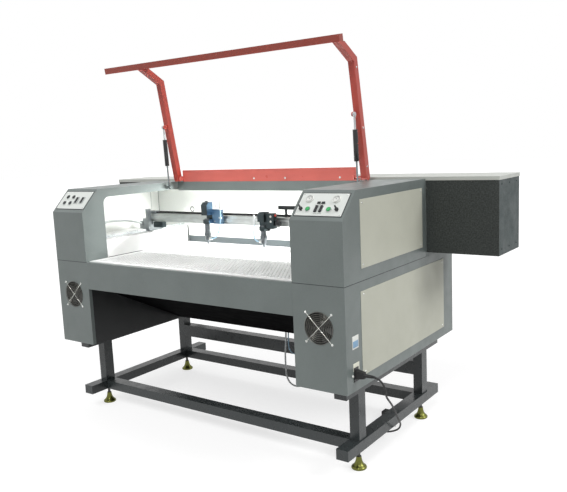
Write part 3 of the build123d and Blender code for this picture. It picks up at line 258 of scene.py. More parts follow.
# Painted shade: the stand has the cabinet's grey paint, made darker here for the shade on its front faces under the
# machine
stand_paint = paint("stand_paint", srgb(48, 53, 54), rough=0.28, grain=1.6, depth=0.05, speckle=0.15, wear=0.4)
panel_inside = (white, ((-757.3, 757.3), (None, None), (None, None)))
cream_paint = paint(
    "cream_paint", srgb(187, 188, 174), rough=0.5, grain=0.8, speckle=0.03, mottle=0.03, wear=0.2,
    fills=(panel_inside,),
)
chamber_paint = paint("chamber_paint", white, rough=0.5, speckle=0.02, mottle=0.02, wear=0.0)
# Painted shade: the hopper made near black and dull for the deep shade under the bed
painted_shade_hopper = paint("painted_shade_hopper", srgb(4, 4, 5), rough=0.9, speckle=0.1, wear=0.0, specular=0.02)
lid_bar = (srgb(146, 58, 44), ((None, None), (None, None), (1572, None)))
lid_paint = paint("lid_paint", srgb(176, 68, 56), 0.36, 0.9, 0.025, speckle=0.04, wear=0.45, fills=(lid_bar,))
rail_paint = paint("rail_paint", srgb(198, 98, 88), 0.34, 0.9, 0.025, speckle=0.04, wear=0.3)
plate_paint = paint(
    "plate_paint", srgb(214, 218, 214), rough=0.36, grain=0.7, depth=0.01, speckle=0.03, mottle=0.03, wear=0.1
)
rail_metal = metal("rail_metal", srgb(196, 200, 202), 0.24, "Y")
rail_lines = (
    srgb(62, 70, 74),
    ((None, None), (None, 413.5), (884, 890)),
    ((None, None), (None, 413.5), (859, 868)),
)
beam_metal = metal("beam_metal", srgb(208, 212, 210), 0.4, fills=(rail_lines,))
carriage_metal = metal("carriage_metal", srgb(150, 155, 158), 0.38, "Y")
lens_metal = metal("lens_metal", srgb(112, 117, 120), 0.3, "Z")
wire_metal = metal("wire_metal", srgb(226, 228, 222), 0.2, "Y", 0.06)
# Painted reflection: the guard rings are the same chrome as the spokes, made darker for the dark surroundings they
# reflect
wire_painted_dark_reflection = metal("wire_painted_dark_reflection", srgb(132, 132, 126), 0.2)
duct_metal = metal("duct_metal", srgb(186, 190, 192), 0.42, "Y", grain=4.0)
foil_paint = paint("foil_paint", srgb(228, 230, 227), rough=0.4, grain=0.6, depth=0.01, speckle=0.02, wear=0.0)
rod_metal = metal("rod_metal", srgb(132, 138, 140), 0.2, "Z", 0.05)
screw_metal = metal("screw_metal", srgb(208, 210, 208), 0.25, "Z")
stud = (srgb(70, 70, 66), ((None, None), (None, None), (46, None)))
brass = metal("brass", srgb(108, 110, 58), 0.34, "Z", grain=1.5, fills=(stud,))
column = (srgb(74, 82, 84), ((None, -155), (None, None), (None, None)))
blue_anodised = metal("blue_anodised", srgb(112, 142, 168), 0.42, "Z", fills=(column,))
dark_anodised = metal("dark_anodised", srgb(66, 74, 76), 0.38, "Z")
black_gloss = paint("black_gloss", srgb(26, 27, 29), rough=0.28, grain=0.8, depth=0.01, speckle=0.03, wear=0.2)
shank = (srgb(190, 194, 196), ((None, None), (None, None), (1244.5, None)))
strut_paint = paint("strut_paint", srgb(26, 27, 29), 0.28, 0.8, 0.01, speckle=0.03, wear=0.2, fills=(shank,))
black_plastic = plastic("black_plastic", srgb(24, 25, 27), 0.38)
fan_plastic = plastic("fan_plastic", srgb(13, 13, 14), 0.5, dust=0.1)
grey_plastic = plastic("grey_plastic", srgb(150, 156, 158), 0.42)
black_rubber = plastic("black_rubber", srgb(20, 20, 21), 0.6, grain=0.9, depth=0.05)
green_plastic = plastic("green_plastic", srgb(60, 168, 96), 0.3)
red_plastic = plastic("red_plastic", srgb(206, 62, 44), 0.3)
white_plastic = plastic("white_plastic", srgb(230, 231, 226), 0.34, dust=0.1)
blue_hose = plastic("blue_hose", srgb(168, 206, 230), 0.25, dust=0.1)
pale_hose = plastic("pale_hose", srgb(238, 242, 242), 0.3, dust=0.1)
grey_cable = plastic("grey_cable", srgb(168, 174, 172), 0.5)
blue_card = plastic("blue_card", srgb(126, 164, 196), 0.4, dust=0.1)
cream_card = plastic("cream_card", srgb(222, 222, 206), 0.4, dust=0.1)
display_black = plastic("display_black", srgb(38, 44, 44), 0.12, grain=3.0, depth=0.0, dust=0.05)
# Dark plastic of the cable duct; the same material also paints shade: strips in the cabinet seams, lines at the rail
# supports and round the control plates
duct_plastic_and_seam_shade = plastic("duct_plastic_and_seam_shade", srgb(38, 42, 43), 0.6)
tube_glass = glass("tube_glass", srgb(236, 246, 246))

finishes = {
    "stand_frame": stand_paint,
    "left_lower_cabinet": cabinet_paint,
    "right_lower_cabinet": cabinet_paint,
    "left_upper_housing": cabinet_paint,
    "right_upper_housing": cabinet_paint,
    "front_apron": cabinet_paint,
    "tube_housing": wall_paint,
    "left_extension_box": box_paint,
    "right_extension_box": box_paint,
    "housing_cover": cover_paint,
    "side_panels": cream_paint,
    "hopper": painted_shade_hopper,
    "exhaust_stub": duct_metal,
    "rail_supports": chamber_paint,
    "gantry_rails": rail_metal,
    "laser_tubes": tube_glass,
    "power_supplies": duct_metal,
    "fan_frames": fan_plastic,
    "left_fan_rotor": fan_plastic,
    "right_fan_rotor": fan_plastic,
    "left_panel_plate": plate_paint,
    "right_panel_plate": plate_paint,
    "panel_meters": white_plastic,
    "power_inlet": black_plastic,
    "cord_connector": black_rubber,
    "gantry_beam": beam_metal,
    "gantry_carriages": carriage_metal,
    "belt_drive": black_gloss,
    "drive_belt": black_rubber,
    "left_head": blue_anodised,
    "right_head": dark_anodised,
    "left_lens_tube": lens_metal,
    "right_lens_tube": lens_metal,
    "lid_frame": lid_paint,
    "hinge_rail": rail_paint,
    "left_strut_rod": rod_metal,
    "right_strut_rod": rod_metal,
    "left_strut_barrel": strut_paint,
    "right_strut_barrel": strut_paint,
    "mains_plug": black_rubber,
}
for name in nodes:
    if name.endswith("_foot"):
        finishes[name] = brass
    elif "_rocker_" in name or "_knob_" in name or name.startswith("left_button"):
        finishes[name] = black_plastic
    elif name.startswith("right_button"):
        finishes[name] = green_plastic

edge_widths = {"stand_frame": 3.0, "lid_frame": 2.5, "hinge_rail": 0.6, "side_panels": 0.5, "mains_plug": 2.5}
plain_nodes = ("left_fan_rotor", "right_fan_rotor", "laser_tubes")
pierced_nodes = (
    "left_lower_cabinet", "right_lower_cabinet", "left_panel_plate", "right_panel_plate", "fan_frames", "hopper",
)
usual_edge = 0.7


def soften(node, width, pierced):
    """Rounds the edges; the facets of flat faces are merged first where no hole goes through them."""
    weld = node.modifiers.new("weld", "WELD")
    weld.merge_threshold = 0.00002
    if not pierced:
        flat = node.modifiers.new("flat", "DECIMATE")
        flat.decimate_type = "DISSOLVE"
        flat.angle_limit = radians(0.5)
    bevel = node.modifiers.new("bevel", "BEVEL")
    bevel.width = width / 1000
    bevel.segments = 2
    bevel.limit_method = "ANGLE"
    bevel.angle_limit = radians(38)
    bevel.harden_normals = True


for name, finish in finishes.items():
    for slot in nodes[name].material_slots:
        slot.material = finish
    if name not in plain_nodes:
        soften(nodes[name], edge_widths.get(name, usual_edge), name in pierced_nodes)


# Mesh pieces

def ring_points(radius, count, six=False):
    """Points on a circle, or on a hexagon with the same number of points."""
    points = []
    for step in range(count):
        angle = tau * step / count
        reach = radius
        if six:
            reach = radius * cos(pi / 6) / cos(angle % (pi / 3) - pi / 6)
        points.append((reach * cos(angle), reach * sin(angle)))
    return points


def add_lathe(mesh, place, profile, count=24, six=()):
    """A turned form from (radius, height) steps in millimetres; the steps named in six are hexagons."""
    rings = []
    for step, (radius, height) in enumerate(profile):
        flat = ring_points(radius / 1000, count, step in six) if radius else [(0, 0)]
        rings.append([mesh.verts.new(place @ Vector((x, y, height / 1000))) for x, y in flat])
    for one, two in zip(rings, rings[1:]):
        for step in range(count):
            after = (step + 1) % count
            corners = [one[step % len(one)], one[after % len(one)], two[after % len(two)], two[step % len(two)]]
            mesh.faces.new(list(dict.fromkeys(corners)))


def add_block(mesh, place, size, round_off=0.0):
    """A block round the origin of a place, in millimetres, with rounded edges."""
    scale = Matrix.Diagonal((*(Vector(size) / 1000), 1.0))
    made = bmesh.ops.create_cube(mesh, size=1.0, matrix=place @ scale)["verts"]
    if round_off:
        edges = list({edge for vert in made for edge in vert.link_edges})
        bmesh.ops.bevel(mesh, geom=edges, offset=round_off / 1000, segments=2, affect="EDGES", profile=0.5)


def add_box(mesh, spans, round_off):
    """A rounded block between two corners of the machine, given as three spans."""
    middle = at(*((low + high) / 2 for low, high in spans))
    add_block(mesh, Matrix.Translation(middle), [high - low for low, high in spans], round_off)


def add_torus(mesh, place, major, minor, count=48, sides=8):
    """A round wire ring, in millimetres."""
    rings = []
    for step in range(count):
        angle = tau * step / count
        ring = []
        for side in range(sides):
            turn = tau * side / sides
            reach = (major + minor * cos(turn)) / 1000
            spot = Vector((reach * cos(angle), reach * sin(angle), minor * sin(turn) / 1000))
            ring.append(mesh.verts.new(place @ spot))
        rings.append(ring)
    for step in range(count):
        one, two = rings[step], rings[(step + 1) % count]
        for side in range(sides):
            after = (side + 1) % sides
            mesh.faces.new((one[side], two[side], two[after], one[after]))


def add_rod(mesh, start, end, radius, count=12):
    """A round bar with eased ends between two places in metres."""
    length = (end - start).length * 1000
    neck = radius - radius * 0.2
    eased = radius * 0.2
    profile = [(0, 0), (neck, 0), (radius, eased), (radius, length - eased), (neck, length), (0, length)]
    add_lathe(mesh, placed(start, end - start), profile, count)


def piece(name, body, finish, build, smooth=35):
    """Makes a mesh piece, gives it a finish and lets it ride on a body."""
    work = bmesh.new()
    build(work)
    bmesh.ops.recalc_face_normals(work, faces=work.faces)
    mesh = bpy.data.meshes.new(name)
    work.to_mesh(mesh)
    work.free()
    made = bpy.data.objects.new(name, mesh)
    scene.collection.objects.link(made)
    mesh.materials.append(finish)
    if smooth:
        mesh.shade_smooth()
        mesh.set_sharp_from_angle(angle=radians(smooth))
    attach(made, body)
    return made


def boxes(name, body, finish, spans, round_off):
    """A piece made of rounded blocks."""
    def build(mesh):
        for one in spans:
            add_box(mesh, one, round_off)
    piece(name, body, finish, build)


def pan_screw(mesh, centre, out, radius=4.0):
    """A domed screw head with a hexagon socket."""
    tall = radius * 0.62
    socket = radius * 0.46
    profile = [
        (radius * 0.96, -0.2), (radius, 0.2), (radius * 0.94, tall * 0.5), (radius * 0.72, tall * 0.92),
        (socket * 1.25, tall), (socket, tall), (socket, tall * 0.35), (0, tall * 0.3),
    ]
    add_lathe(mesh, placed(centre, out), profile, 24, (5, 6))


def hose(name, body, points, radius, finish):
    """A hose or cable along one smooth spline through its control points, in millimetres."""
    curve = bpy.data.curves.new(name, "CURVE")
    curve.dimensions = "3D"
    curve.bevel_depth = radius / 1000
    curve.bevel_resolution = 4
    spline = curve.splines.new("NURBS")
    spline.points.add(len(points) - 1)
    for spot, place in zip(spline.points, points):
        spot.co = (*at(*place), 1.0)
    spline.order_u = 3
    spline.use_endpoint_u = True
    spline.resolution_u = 8
    curve.use_fill_caps = True
    made = bpy.data.objects.new(name, curve)
    scene.collection.objects.link(made)
    curve.materials.append(finish)
    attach(made, body)
    return made


def spline_length(made):
    """Length of a hose's middle line, in metres."""
    bare = made.data.copy()
    bare.bevel_depth = 0.0
    ghost = bpy.data.objects.new("measure", bare)
    mesh = bpy.data.meshes.new_from_object(ghost)
    total = sum((mesh.vertices[e.vertices[0]].co - mesh.vertices[e.vertices[1]].co).length for e in mesh.edges)
    bpy.data.objects.remove(ghost)
    bpy.data.meshes.remove(mesh)
    bpy.data.curves.remove(bare)
    return total


def held_hose(name, body, points, radius, finish):
    """A hose that goes back into the machine at its far end."""
    made = hose(name, body, points, radius, finish)
    spline_length(made)


# Mains lead, on the route of its solid, wound up at its end inside the stand
lead_route = [
    (816.0, 61.0, 408.0), (827.0, 61.0, 408.0), (842.0, 62.0, 404.0), (854.0, 64.0, 394.0), (860.5, 67.5, 380.0),
    (861.0, 74.5, 363.0), (857.0, 88.0, 336.0), (850.0, 115.5, 314.0), (838.0, 164.5, 278.5), (822.0, 217.0, 235.5),
    (802.0, 276.5, 188.0), (780.0, 339.0, 139.5), (761.0, 386.0, 111.0), (746.0, 414.0, 87.0), (728.0, 437.0, 63.0),
    (703.0, 455.0, 43.0), (672.0, 470.0, 26.0), (641.0, 486.0, 12.5), (615.0, 503.0, 5.0), (594.0, 523.0, 3.6),
    (577.5, 543.5, 3.6), (563.0, 564.5, 3.6),
]
coil_x, coil_y = 596.0, 587.0
coil_start = 214.5
coil_points = 37
coil_step = 30.0
coil_hug = 0.966  # the spline runs this share of the way out to its control points
wide_turn, slim_turn = 40.0, 32.5
lower_layer, upper_layer = 3.6, 11.0


def ease(value, low, high, start, end):
    """A value that goes from start to end between two angles."""
    share = min(1.0, max(0.0, (value - low) / (high - low)))
    return start + share * (end - start)


for step in range(1, coil_points + 1):
    wound = coil_step * step
    reach = ease(wound, 300, 360, wide_turn, slim_turn) + ease(wound, 900, 960, 0.0, wide_turn - slim_turn)
    angle = radians(coil_start - wound)
    height = ease(wound, 600, 660, lower_layer, upper_layer)
    lead_route.append((coil_x + reach / coil_hug * cos(angle), coil_y + reach / coil_hug * sin(angle), height))
lead_route += [(556.5, 590.0, 11.5), (558.0, 604.0, 12.6), (560.0, 619.0, 13.0)]
lead = hose("mains_lead", "cabinet", lead_route, 3.5, black_rubber)


def build_tie(mesh):
    """A band round the turns of the coil."""
    outline = ((25.5, 0.5), (25.0, 15.5), (45.0, 15.5), (45.0, 0.5))
    for side in (-1, 1):
        for (r0, z0), (r1, z1) in zip(outline, outline[1:] + outline[:1]):
            middle = at(coil_x + side * (r0 + r1) / 2, coil_y - 6, (z0 + z1) / 2)
            add_block(mesh, Matrix.Translation(middle), (abs(r1 - r0) + 1.2, 5.0, abs(z1 - z0) + 1.2), 0.4)


tie = piece("lead_tie", "cabinet", white_plastic, build_tie)
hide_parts("mains_cord", "mains_coil")
spline_length(lead)

# Honeycomb bed: foil cells in a folded rim, on a white sheet
bed_low, bed_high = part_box("honeycomb_bed")
rim = 0.022
cell = 0.016


def build_rim(mesh):
    spans = (
        ((bed_low.x, bed_low.y), (bed_high.x, bed_low.y + rim)),
        ((bed_low.x, bed_high.y - rim), (bed_high.x, bed_high.y)),
        ((bed_low.x, bed_low.y + rim), (bed_low.x + rim, bed_high.y - rim)),
        ((bed_high.x - rim, bed_low.y + rim), (bed_high.x, bed_high.y - rim)),
    )
    for (x0, y0), (x1, y1) in spans:
        middle = Vector(((x0 + x1) / 2, (y0 + y1) / 2, (bed_low.z + bed_high.z) / 2))
        size = ((x1 - x0) * 1000, (y1 - y0) * 1000, (bed_high.z - bed_low.z) * 1000)
        add_block(mesh, Matrix.Translation(middle), size, 0.8)


def build_cells(mesh):
    """Foil walls of a hexagon grid, clipped to the rim."""
    left, right = bed_low.x + rim, bed_high.x - rim
    low_y, high_y = bed_low.y + rim, bed_high.y - rim
    top, foot = bed_high.z - 0.0015, bed_high.z - 0.006
    side = cell / sqrt(3)
    columns = int((right - left) / cell) + 2
    rows = int((high_y - low_y) / (1.5 * side)) + 2
    corners = {}

    def corner(x, y):
        x, y = min(max(x, left), right), min(max(y, low_y), high_y)
        key = (round(x, 5), round(y, 5))
        if key not in corners:
            corners[key] = (mesh.verts.new((x, y, top)), mesh.verts.new((x, y, foot)))
        return corners[key]

    for row in range(rows):
        for column in range(columns):
            x = left + (column + (row % 2) / 2) * cell
            y = low_y + row * 1.5 * side
            spots = [(x + side * sin(tau * k / 6), y + side * cos(tau * k / 6)) for k in range(3, 7)]
            for one, two in zip(spots, spots[1:]):
                a, b = corner(*one), corner(*two)
                if a is not b and mesh.faces.get((a[0], b[0], b[1], a[1])) is None:
                    mesh.faces.new((a[0], b[0], b[1], a[1]))


def build_sheet(mesh):
    middle = Vector(((bed_low.x + bed_high.x) / 2, (bed_low.y + bed_high.y) / 2, bed_high.z - 0.0065))
    size = [(high - low - rim) * 1000 for low, high in ((bed_low.x, bed_high.x), (bed_low.y, bed_high.y))]
    add_block(mesh, Matrix.Translation(middle), (*size, 3.0), 0.5)


bed_rim = piece("bed_rim", "cabinet", chamber_paint, build_rim)
bed_sheet = piece("bed_sheet", "cabinet", chamber_paint, build_sheet)
bed_cells = piece("bed_cells", "cabinet", foil_paint, build_cells, smooth=0)
for made in (bed_rim, bed_sheet, bed_cells):
    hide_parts("honeycomb_bed")
walls = bed_cells.modifiers.new("foil", "SOLIDIFY")
walls.thickness = 0.0008
walls.offset = 0.0

# Wire guards of the fans
fan_z = 572.0
fan_xs = (-654.5, 651.5)
guard_radius = 57.0
guard_rings = 8
spoke_reach, eye_reach = 0.0705, 0.0741


def build_guards(mesh):
    for x in fan_xs:
        for step in range(guard_rings):
            radius = guard_radius * (step + 1) / guard_rings
            add_torus(mesh, placed(at(x, -3.0, fan_z), (0, -1, 0)), radius, 0.8)


def build_spokes(mesh):
    for x in fan_xs:
        for turn in (45, 135, 225, 315):
            reach = Vector((cos(radians(turn)), 0, sin(radians(turn))))
            hub = at(x, -1.2, fan_z)
            add_rod(mesh, hub, hub + reach * spoke_reach, 1.3, 8)
            add_torus(mesh, placed(hub + reach * eye_reach, (0, -1, 0)), 3.6, 1.2, 20)


# The rings carry the darker chrome with its painted dark reflection; the spokes carry the bright one
guards = piece("wire_guards", "cabinet", wire_painted_dark_reflection, build_guards, smooth=60)
piece("guard_spokes", "cabinet", wire_metal, build_spokes, smooth=60)
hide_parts("fan_guards")

# Control slopes
slope_foot = 942.0
slope = radians(45.6)
slope_out = Vector((0, -sin(slope), cos(slope)))
slope_up = Vector((0, cos(slope), sin(slope)))


def on_slope(x, along, lift):
    """A place on the control slopes: X, millimetres up the slope and out of it."""
    return at(x, 0, slope_foot) + (slope_up * along + slope_out * lift) / 1000


def on_plate(x, along, lift):
    """A matrix on the control slopes, with X across, Y up the slope and Z out of it."""
    axes = Matrix(((1, 0, 0), slope_up, slope_out)).transposed().to_4x4()
    return Matrix.Translation(on_slope(x, along, lift)) @ axes


def height_on_slope(name):
    """How far a node stands out of the slope, in millimetres."""
    base = on_slope(0, 0, 0)
    return max((vert.co - base).dot(slope_out) for vert in nodes[name].data.vertices) * 1000


# Screws of the cabinet and of the boxes past its sides
guard_screw = 52.4
panel_screws = ((127, 676), (810, 676), (127, 400), (810, 400), (131, 992), (606, 992), (131, 780), (606, 780))


def build_screws(mesh):
    """Screws of the guards, control plates, side panels, cover and hinge rail."""
    for x in fan_xs:
        for dx in (-guard_screw, guard_screw):
            for dz in (-guard_screw, guard_screw):
                pan_screw(mesh, at(x + dx, -2.4, fan_z + dz), (0, -1, 0), 3.6)
    for x in fan_xs:
        for dx in (-87, 87):
            for along in (25.5, 111.5):
                pan_screw(mesh, on_slope(x + dx, along, 1.5), slope_out, 2.6)
    for side in (-1, 1):
        for y, z in panel_screws:
            pan_screw(mesh, at(side * panel_face, y, z), (side, 0, 0), 3.4)
    for x in (-1000, -700, -400, -100, 200, 500, 800, 1000):
        pan_screw(mesh, at(x, cover_back, 1038.5), (0, 1, 0), 3.0)
    for x in (-66, 110, 395):
        pan_screw(mesh, at(x, rail_face, 1050), (0, -1, 0), 5.0)


def build_box_screws(mesh):
    for side in (-1, 1):
        for y in (690, 780, 870):
            for z in (765, 1015):
                pan_screw(mesh, at(side * box_end, y, z), (side, 0, 0), 3.4)


piece("cabinet_screws", "cabinet", screw_metal, build_screws)
piece("box_screws", "cabinet", box_paint, build_box_screws)

# Painted shade: dark strips in the seams between the lower and upper cabinets, and dark lines along the edges and rear
# ends of the rail supports
boxes(
    "cabinet_seam_shade", "cabinet", duct_plastic_and_seam_shade,
    [(x, (-0.4, 1.0), seam_span) for x in ((-side_face, -552), (546, side_face))]
    + [(x, (0, 657), seam_span) for x in ((-757.4, -756), (756, 757.4))],
    0.2,
)
boxes(
    "support_edge_shade", "cabinet", duct_plastic_and_seam_shade,
    [(x, (650, 657), (727, 809)) for x in ((-552.5, -550.5), (544.5, 546.5))]
    + [(x, (124, 650), z) for x in ((-552.5, -551.2), (545.2, 546.5)) for z in ((726, 728.4), (808.2, 809.6))],
    0.3,
)

# Control panels
plate_spans = ((-747.5, -561.5), (558.5, 744.5))
plate_low, plate_high = 19.5, 117.5
line = 2.6


def build_plate_shade_lines(mesh):
    """A painted shadow line round each control plate."""
    middle = (plate_low + plate_high) / 2
    tall = plate_high - plate_low
    for low, high in plate_spans:
        for x in (low - line / 2, high + line / 2):
            add_block(mesh, on_plate(x, middle, 0.3), (line, tall + 2 * line, 1.6), 0.3)
        for along in (plate_low - line / 2, plate_high + line / 2):
            add_block(mesh, on_plate((low + high) / 2, along, 0.3), (high - low, line, 1.6), 0.3)


piece("plate_shade_lines", "cabinet", duct_plastic_and_seam_shade, build_plate_shade_lines)
meter_lift = height_on_slope("panel_meters")
plate_lift = height_on_slope("right_panel_plate")
meter_spots = ((595.7, 89.8), (703.6, 89.8))


def build_dials(mesh):
    """Printed arc, ticks and needle of each dial."""
    for x, along in meter_spots:
        face = on_plate(x, along, meter_lift)
        add_torus(mesh, face, 11.6, 0.5, 40, 6)
        for step in range(9):
            turn = radians(-60 + 15 * step)
            tick = face @ Matrix.Rotation(-turn, 4, "Z") @ Matrix.Translation((0, 0.0086, 0))
            add_block(mesh, tick, (0.6, 2.4, 0.5), 0.1)
        needle = face @ Matrix.Rotation(radians(38), 4, "Z") @ Matrix.Translation((0, 0.003, 0.0002))
        add_block(mesh, needle, (0.7, 11.0, 0.5), 0.1)
        add_lathe(mesh, face, [(0, -0.2), (1.6, -0.2), (1.6, 0.5), (1.2, 0.8), (0, 0.8)], 16)


piece("dial_marks", "cabinet", grey_plastic, build_dials)


def build_displays(mesh):
    for x in (640.0, 657.5):
        add_block(mesh, on_plate(x, 73.5, plate_lift + 0.8), (13.0, 9.5, 2.0), 0.6)


piece("panel_displays", "cabinet", display_black, build_displays)


rocker_rims = ((-637.8, 66.6, 18, 34), (-600.6, 66.6, 18, 34), (638.5, 47.2, 13, 24), (658.0, 47.2, 13, 24))
rim_wall = 1.4
left_buttons = ((-708.4, 50.1), (-669.4, 50.1), (-708.4, 84.0), (-669.4, 84.0))
right_buttons = ((605.0, 46.2), (688.7, 46.2))


def build_bezels(mesh):
    """Raised rims round the rockers and rings round the buttons."""
    for x, along, wide, tall in rocker_rims:
        for side in (-1, 1):
            add_block(mesh, on_plate(x + side * wide / 2, along, plate_lift), (rim_wall, tall, 1.6), 0.4)
            add_block(mesh, on_plate(x, along + side * tall / 2, plate_lift), (wide + rim_wall, rim_wall, 1.6), 0.4)
    for spots, radius in ((left_buttons, 9.6), (right_buttons, 9.2)):
        for x, along in spots:
            add_torus(mesh, on_plate(x, along, plate_lift), radius, 0.9, 40)


piece("panel_bezels", "cabinet", grey_plastic, build_bezels)

# Bare plates beside the power inlet
boxes("upper_card", "cabinet", white_plastic, [((756.6, 757.8), (42, 84), (498, 544))], 0.3)
boxes("upper_card_field", "cabinet", blue_card, [((757.0, 758.1), (45, 81), (503, 526))], 0.2)
boxes("lower_card", "cabinet", cream_card, [((756.6, 757.8), (44, 85), (421, 448))], 0.3)


def build_inlet_screw(mesh):
    pan_screw(mesh, at(side_face, 39, 406), (1, 0, 0), 4.6)


piece("inlet_screw", "cabinet", white_plastic, build_inlet_screw)


def build_relief(mesh):
    """Ribbed sleeve where the lead leaves its connector."""
    for step in range(4):
        reach = 5.6 - 0.4 * step
        rib = [(3.4, 0), (reach, 0.4), (reach, 2.2), (3.4, 2.8)]
        add_lathe(mesh, placed(at(815.5 + 4 * step, 61, 408), (1, 0, 0)), rib, 20)


piece("lead_relief", "cabinet", black_rubber, build_relief, smooth=50)

# Cutting heads
sleeve = [(3.2, 0), (4.6, 0.4), (4.8, 1.2), (4.8, 38), (4.2, 42), (2.5, 44), (0, 44)]


def build_left_fittings(mesh):
    add_lathe(mesh, placed(at(-89, 378, 924)), sleeve, 20)
    add_box(mesh, ((-98, -90), (374, 400), (930, 938)), 1.0)
    add_box(mesh, ((-132, -118), (391, 399), (936, 946)), 1.5)
    add_box(mesh, ((-112, -98), (392, 399), (884, 892)), 1.5)


piece("left_head_fittings", "left_head", white_plastic, build_left_fittings)


def build_head_screws(mesh):
    for x, z in ((-142, 934), (-106, 934), (-142, 872), (-106, 872)):
        pan_screw(mesh, at(x, 398, z), (0, -1, 0), 2.6)


piece("left_head_screws", "left_head", screw_metal, build_head_screws)


def build_cap(mesh):
    """Knurled cap on the left column."""
    profile = [(0, 0), (15, 0), (16, 1), (16, 10), (14, 13), (7, 14), (6, 18), (0, 18.5)]
    add_lathe(mesh, placed(at(-172, 383, 945)), profile, 28)


piece("left_head_cap", "left_head", dark_anodised, build_cap)
held_hose(
    "left_air_hose", "left_lens_tube",
    [(-89, 378, 950), (-89, 378, 930), (-89, 378, 902), (-91, 378, 874), (-96, 377, 846), (-105, 376, 822),
     (-118, 376, 804), (-136, 376, 796), (-158, 377, 794)],
    3.0, blue_hose,
)
boxes("right_head_cheek", "right_head", dark_anodised, [((158, 204), (372, 400), (850, 916))], 3.0)


def build_right_screws(mesh):
    for z in (903, 882):
        pan_screw(mesh, at(190, 372, z), (0, -1, 0), 4.6)


piece("right_head_screws", "right_head", white_plastic, build_right_screws)


def build_lamp(mesh):
    add_lathe(mesh, placed(at(203, 386, 906), (1, 0, 0)), [(0, -1), (5, -1), (5, 2), (3.6, 4), (0, 4.6)], 20)


piece("right_head_lamp", "right_head", red_plastic, build_lamp)


def build_clamp_knob(mesh):
    """Dark clamp knob on the right head's side."""
    profile = [(0, 0), (5, 0), (5, 8), (13, 9), (14, 10), (14, 20), (12, 22), (5, 22.5), (4, 26), (0, 26.5)]
    add_lathe(mesh, placed(at(203.5, 386, 872), (1, 0, 0)), profile, 28)


piece("right_head_knob", "right_head", black_gloss, build_clamp_knob)


def build_right_guide(mesh):
    add_lathe(mesh, placed(at(84, 396, 862)), sleeve, 20)
    add_box(mesh, ((84, 114), (393, 399), (880, 887)), 1.0)


piece("right_head_guide", "right_head", pale_hose, build_right_guide)
held_hose(
    "right_air_hose", "right_lens_tube",
    [(84, 396, 888), (84, 396, 872), (83, 395, 852), (82, 392, 832), (86, 387, 812), (97, 382, 799), (112, 378, 794),
     (128, 377, 793)],
    3.0, blue_hose,
)
held_hose(
    "head_wire", "left_head",
    [(-99, 404, 940), (-84, 404, 940), (-60, 404, 934), (-20, 404, 924), (10, 404, 919), (50, 403, 915), (85, 402, 914),
     (118, 400, 914)],
    1.5, pale_hose,
)

# Grip rings and air fittings of the lens tubes
fitting_profile = [(0, -8), (6, -8), (6, 0), (5, 1), (5, 7), (3.4, 8), (0, 8)]
for side, x, fitting in (("left", -172, (-152, 379, 794)), ("right", 143, (128, 379, 793))):
    def build_tube(mesh, x=x):
        for step in range(3):
            add_torus(mesh, placed(at(x, 381, 812 + 6 * step)), 14.2, 1.2, 36)

    def build_fitting(mesh, fitting=fitting):
        out = (1 if fitting[0] < 0 else -1, 0, 0)
        add_lathe(mesh, placed(at(*fitting), out), fitting_profile, 18)

    piece(f"{side}_tube_rings", f"{side}_lens_tube", lens_metal, build_tube, smooth=60)
    piece(f"{side}_air_fitting", f"{side}_lens_tube", white_plastic, build_fitting)

# Gantry: cable duct on posts, sensor and end block
post_y, post_z = (454, 460), (892, 926)
boxes(
    "cable_duct", "gantry", duct_plastic_and_seam_shade,
    [((175, 582), (449, 462), (925, 940)), ((205, 217), post_y, post_z), ((534, 546), post_y, post_z)], 1.5,
)
boxes("end_sensor", "gantry", dark_anodised, [((-536, -474), (400, 426), (830, 857))], 2.0)
boxes("end_block", "gantry", carriage_metal, [((-586, -540), (424, 456), (892, 906))], 2.0)

# Conduit, its gland and its terminal block on the left ledge
ledge_x = -690
held_hose(
    "ledge_conduit", "cabinet",
    [(ledge_x, 208, ledge_top), (ledge_x, 208, 873), (ledge_x, 324, 868), (ledge_x, 400, 858), (ledge_x, 474, 836)],
    5.0, grey_cable,
)


def build_terminal(mesh):
    add_box(mesh, ((-706, -674), (468, 500), (ledge_top, 848)), 2.0)
    for y, tall in ((478, 20), (492, 16)):
        add_rod(mesh, at(ledge_x, y, 847), at(ledge_x, y, 847 + tall), 2.2)
    gland = [(0, 0), (9, 0), (9, 5), (7.6, 6), (7.6, 10), (5.2, 12), (0, 12)]
    add_lathe(mesh, placed(at(ledge_x, 208, ledge_top)), gland, 24, (1, 2))


piece("ledge_terminal", "cabinet", grey_plastic, build_terminal)


def build_port(mesh):
    """Beam port in the rear wall."""
    add_torus(mesh, placed(at(-518, rear_wall_face - 0.4, 892.5), (0, -1, 0)), 12, 1.9, 36)


piece("beam_port", "cabinet", display_black, build_port)

# Water hoses in loops below the hopper, and their unions
hose_y = 640
hopper_floor = 348
held_hose(
    "white_water_hose", "cabinet",
    [(x, hose_y, z) for x, z in (
        (50, hopper_floor), (50, 326), (46, 270), (38, 200), (43, 64), (149, 64), (154, 200), (152, 326),
        (152, hopper_floor),
    )],
    4.0, pale_hose,
)
held_hose(
    "blue_water_hose", "cabinet",
    [(x, hose_y, z) for x, z in (
        (64, hopper_floor), (64, 330), (62, 300), (63, 222), (139, 222), (140, 300), (138, 330), (138, hopper_floor),
    )],
    3.0, blue_hose,
)


def build_unions(mesh):
    union = [(0, 0), (6.8, 0), (6.8, 5), (5.6, 6), (5.6, 12), (4, 13), (0, 13)]
    for x in (50, 64, 138, 152):
        add_lathe(mesh, placed(at(x, hose_y, hopper_floor + 0.5), (0, 0, -1)), union, 24, (1, 2))


piece("hose_unions", "cabinet", screw_metal, build_unions)

# Back: louvres, screws, glands and the duct's beads
louvre_foot, louvre_pitch, louvre_tilt = 860, 13, radians(-28)


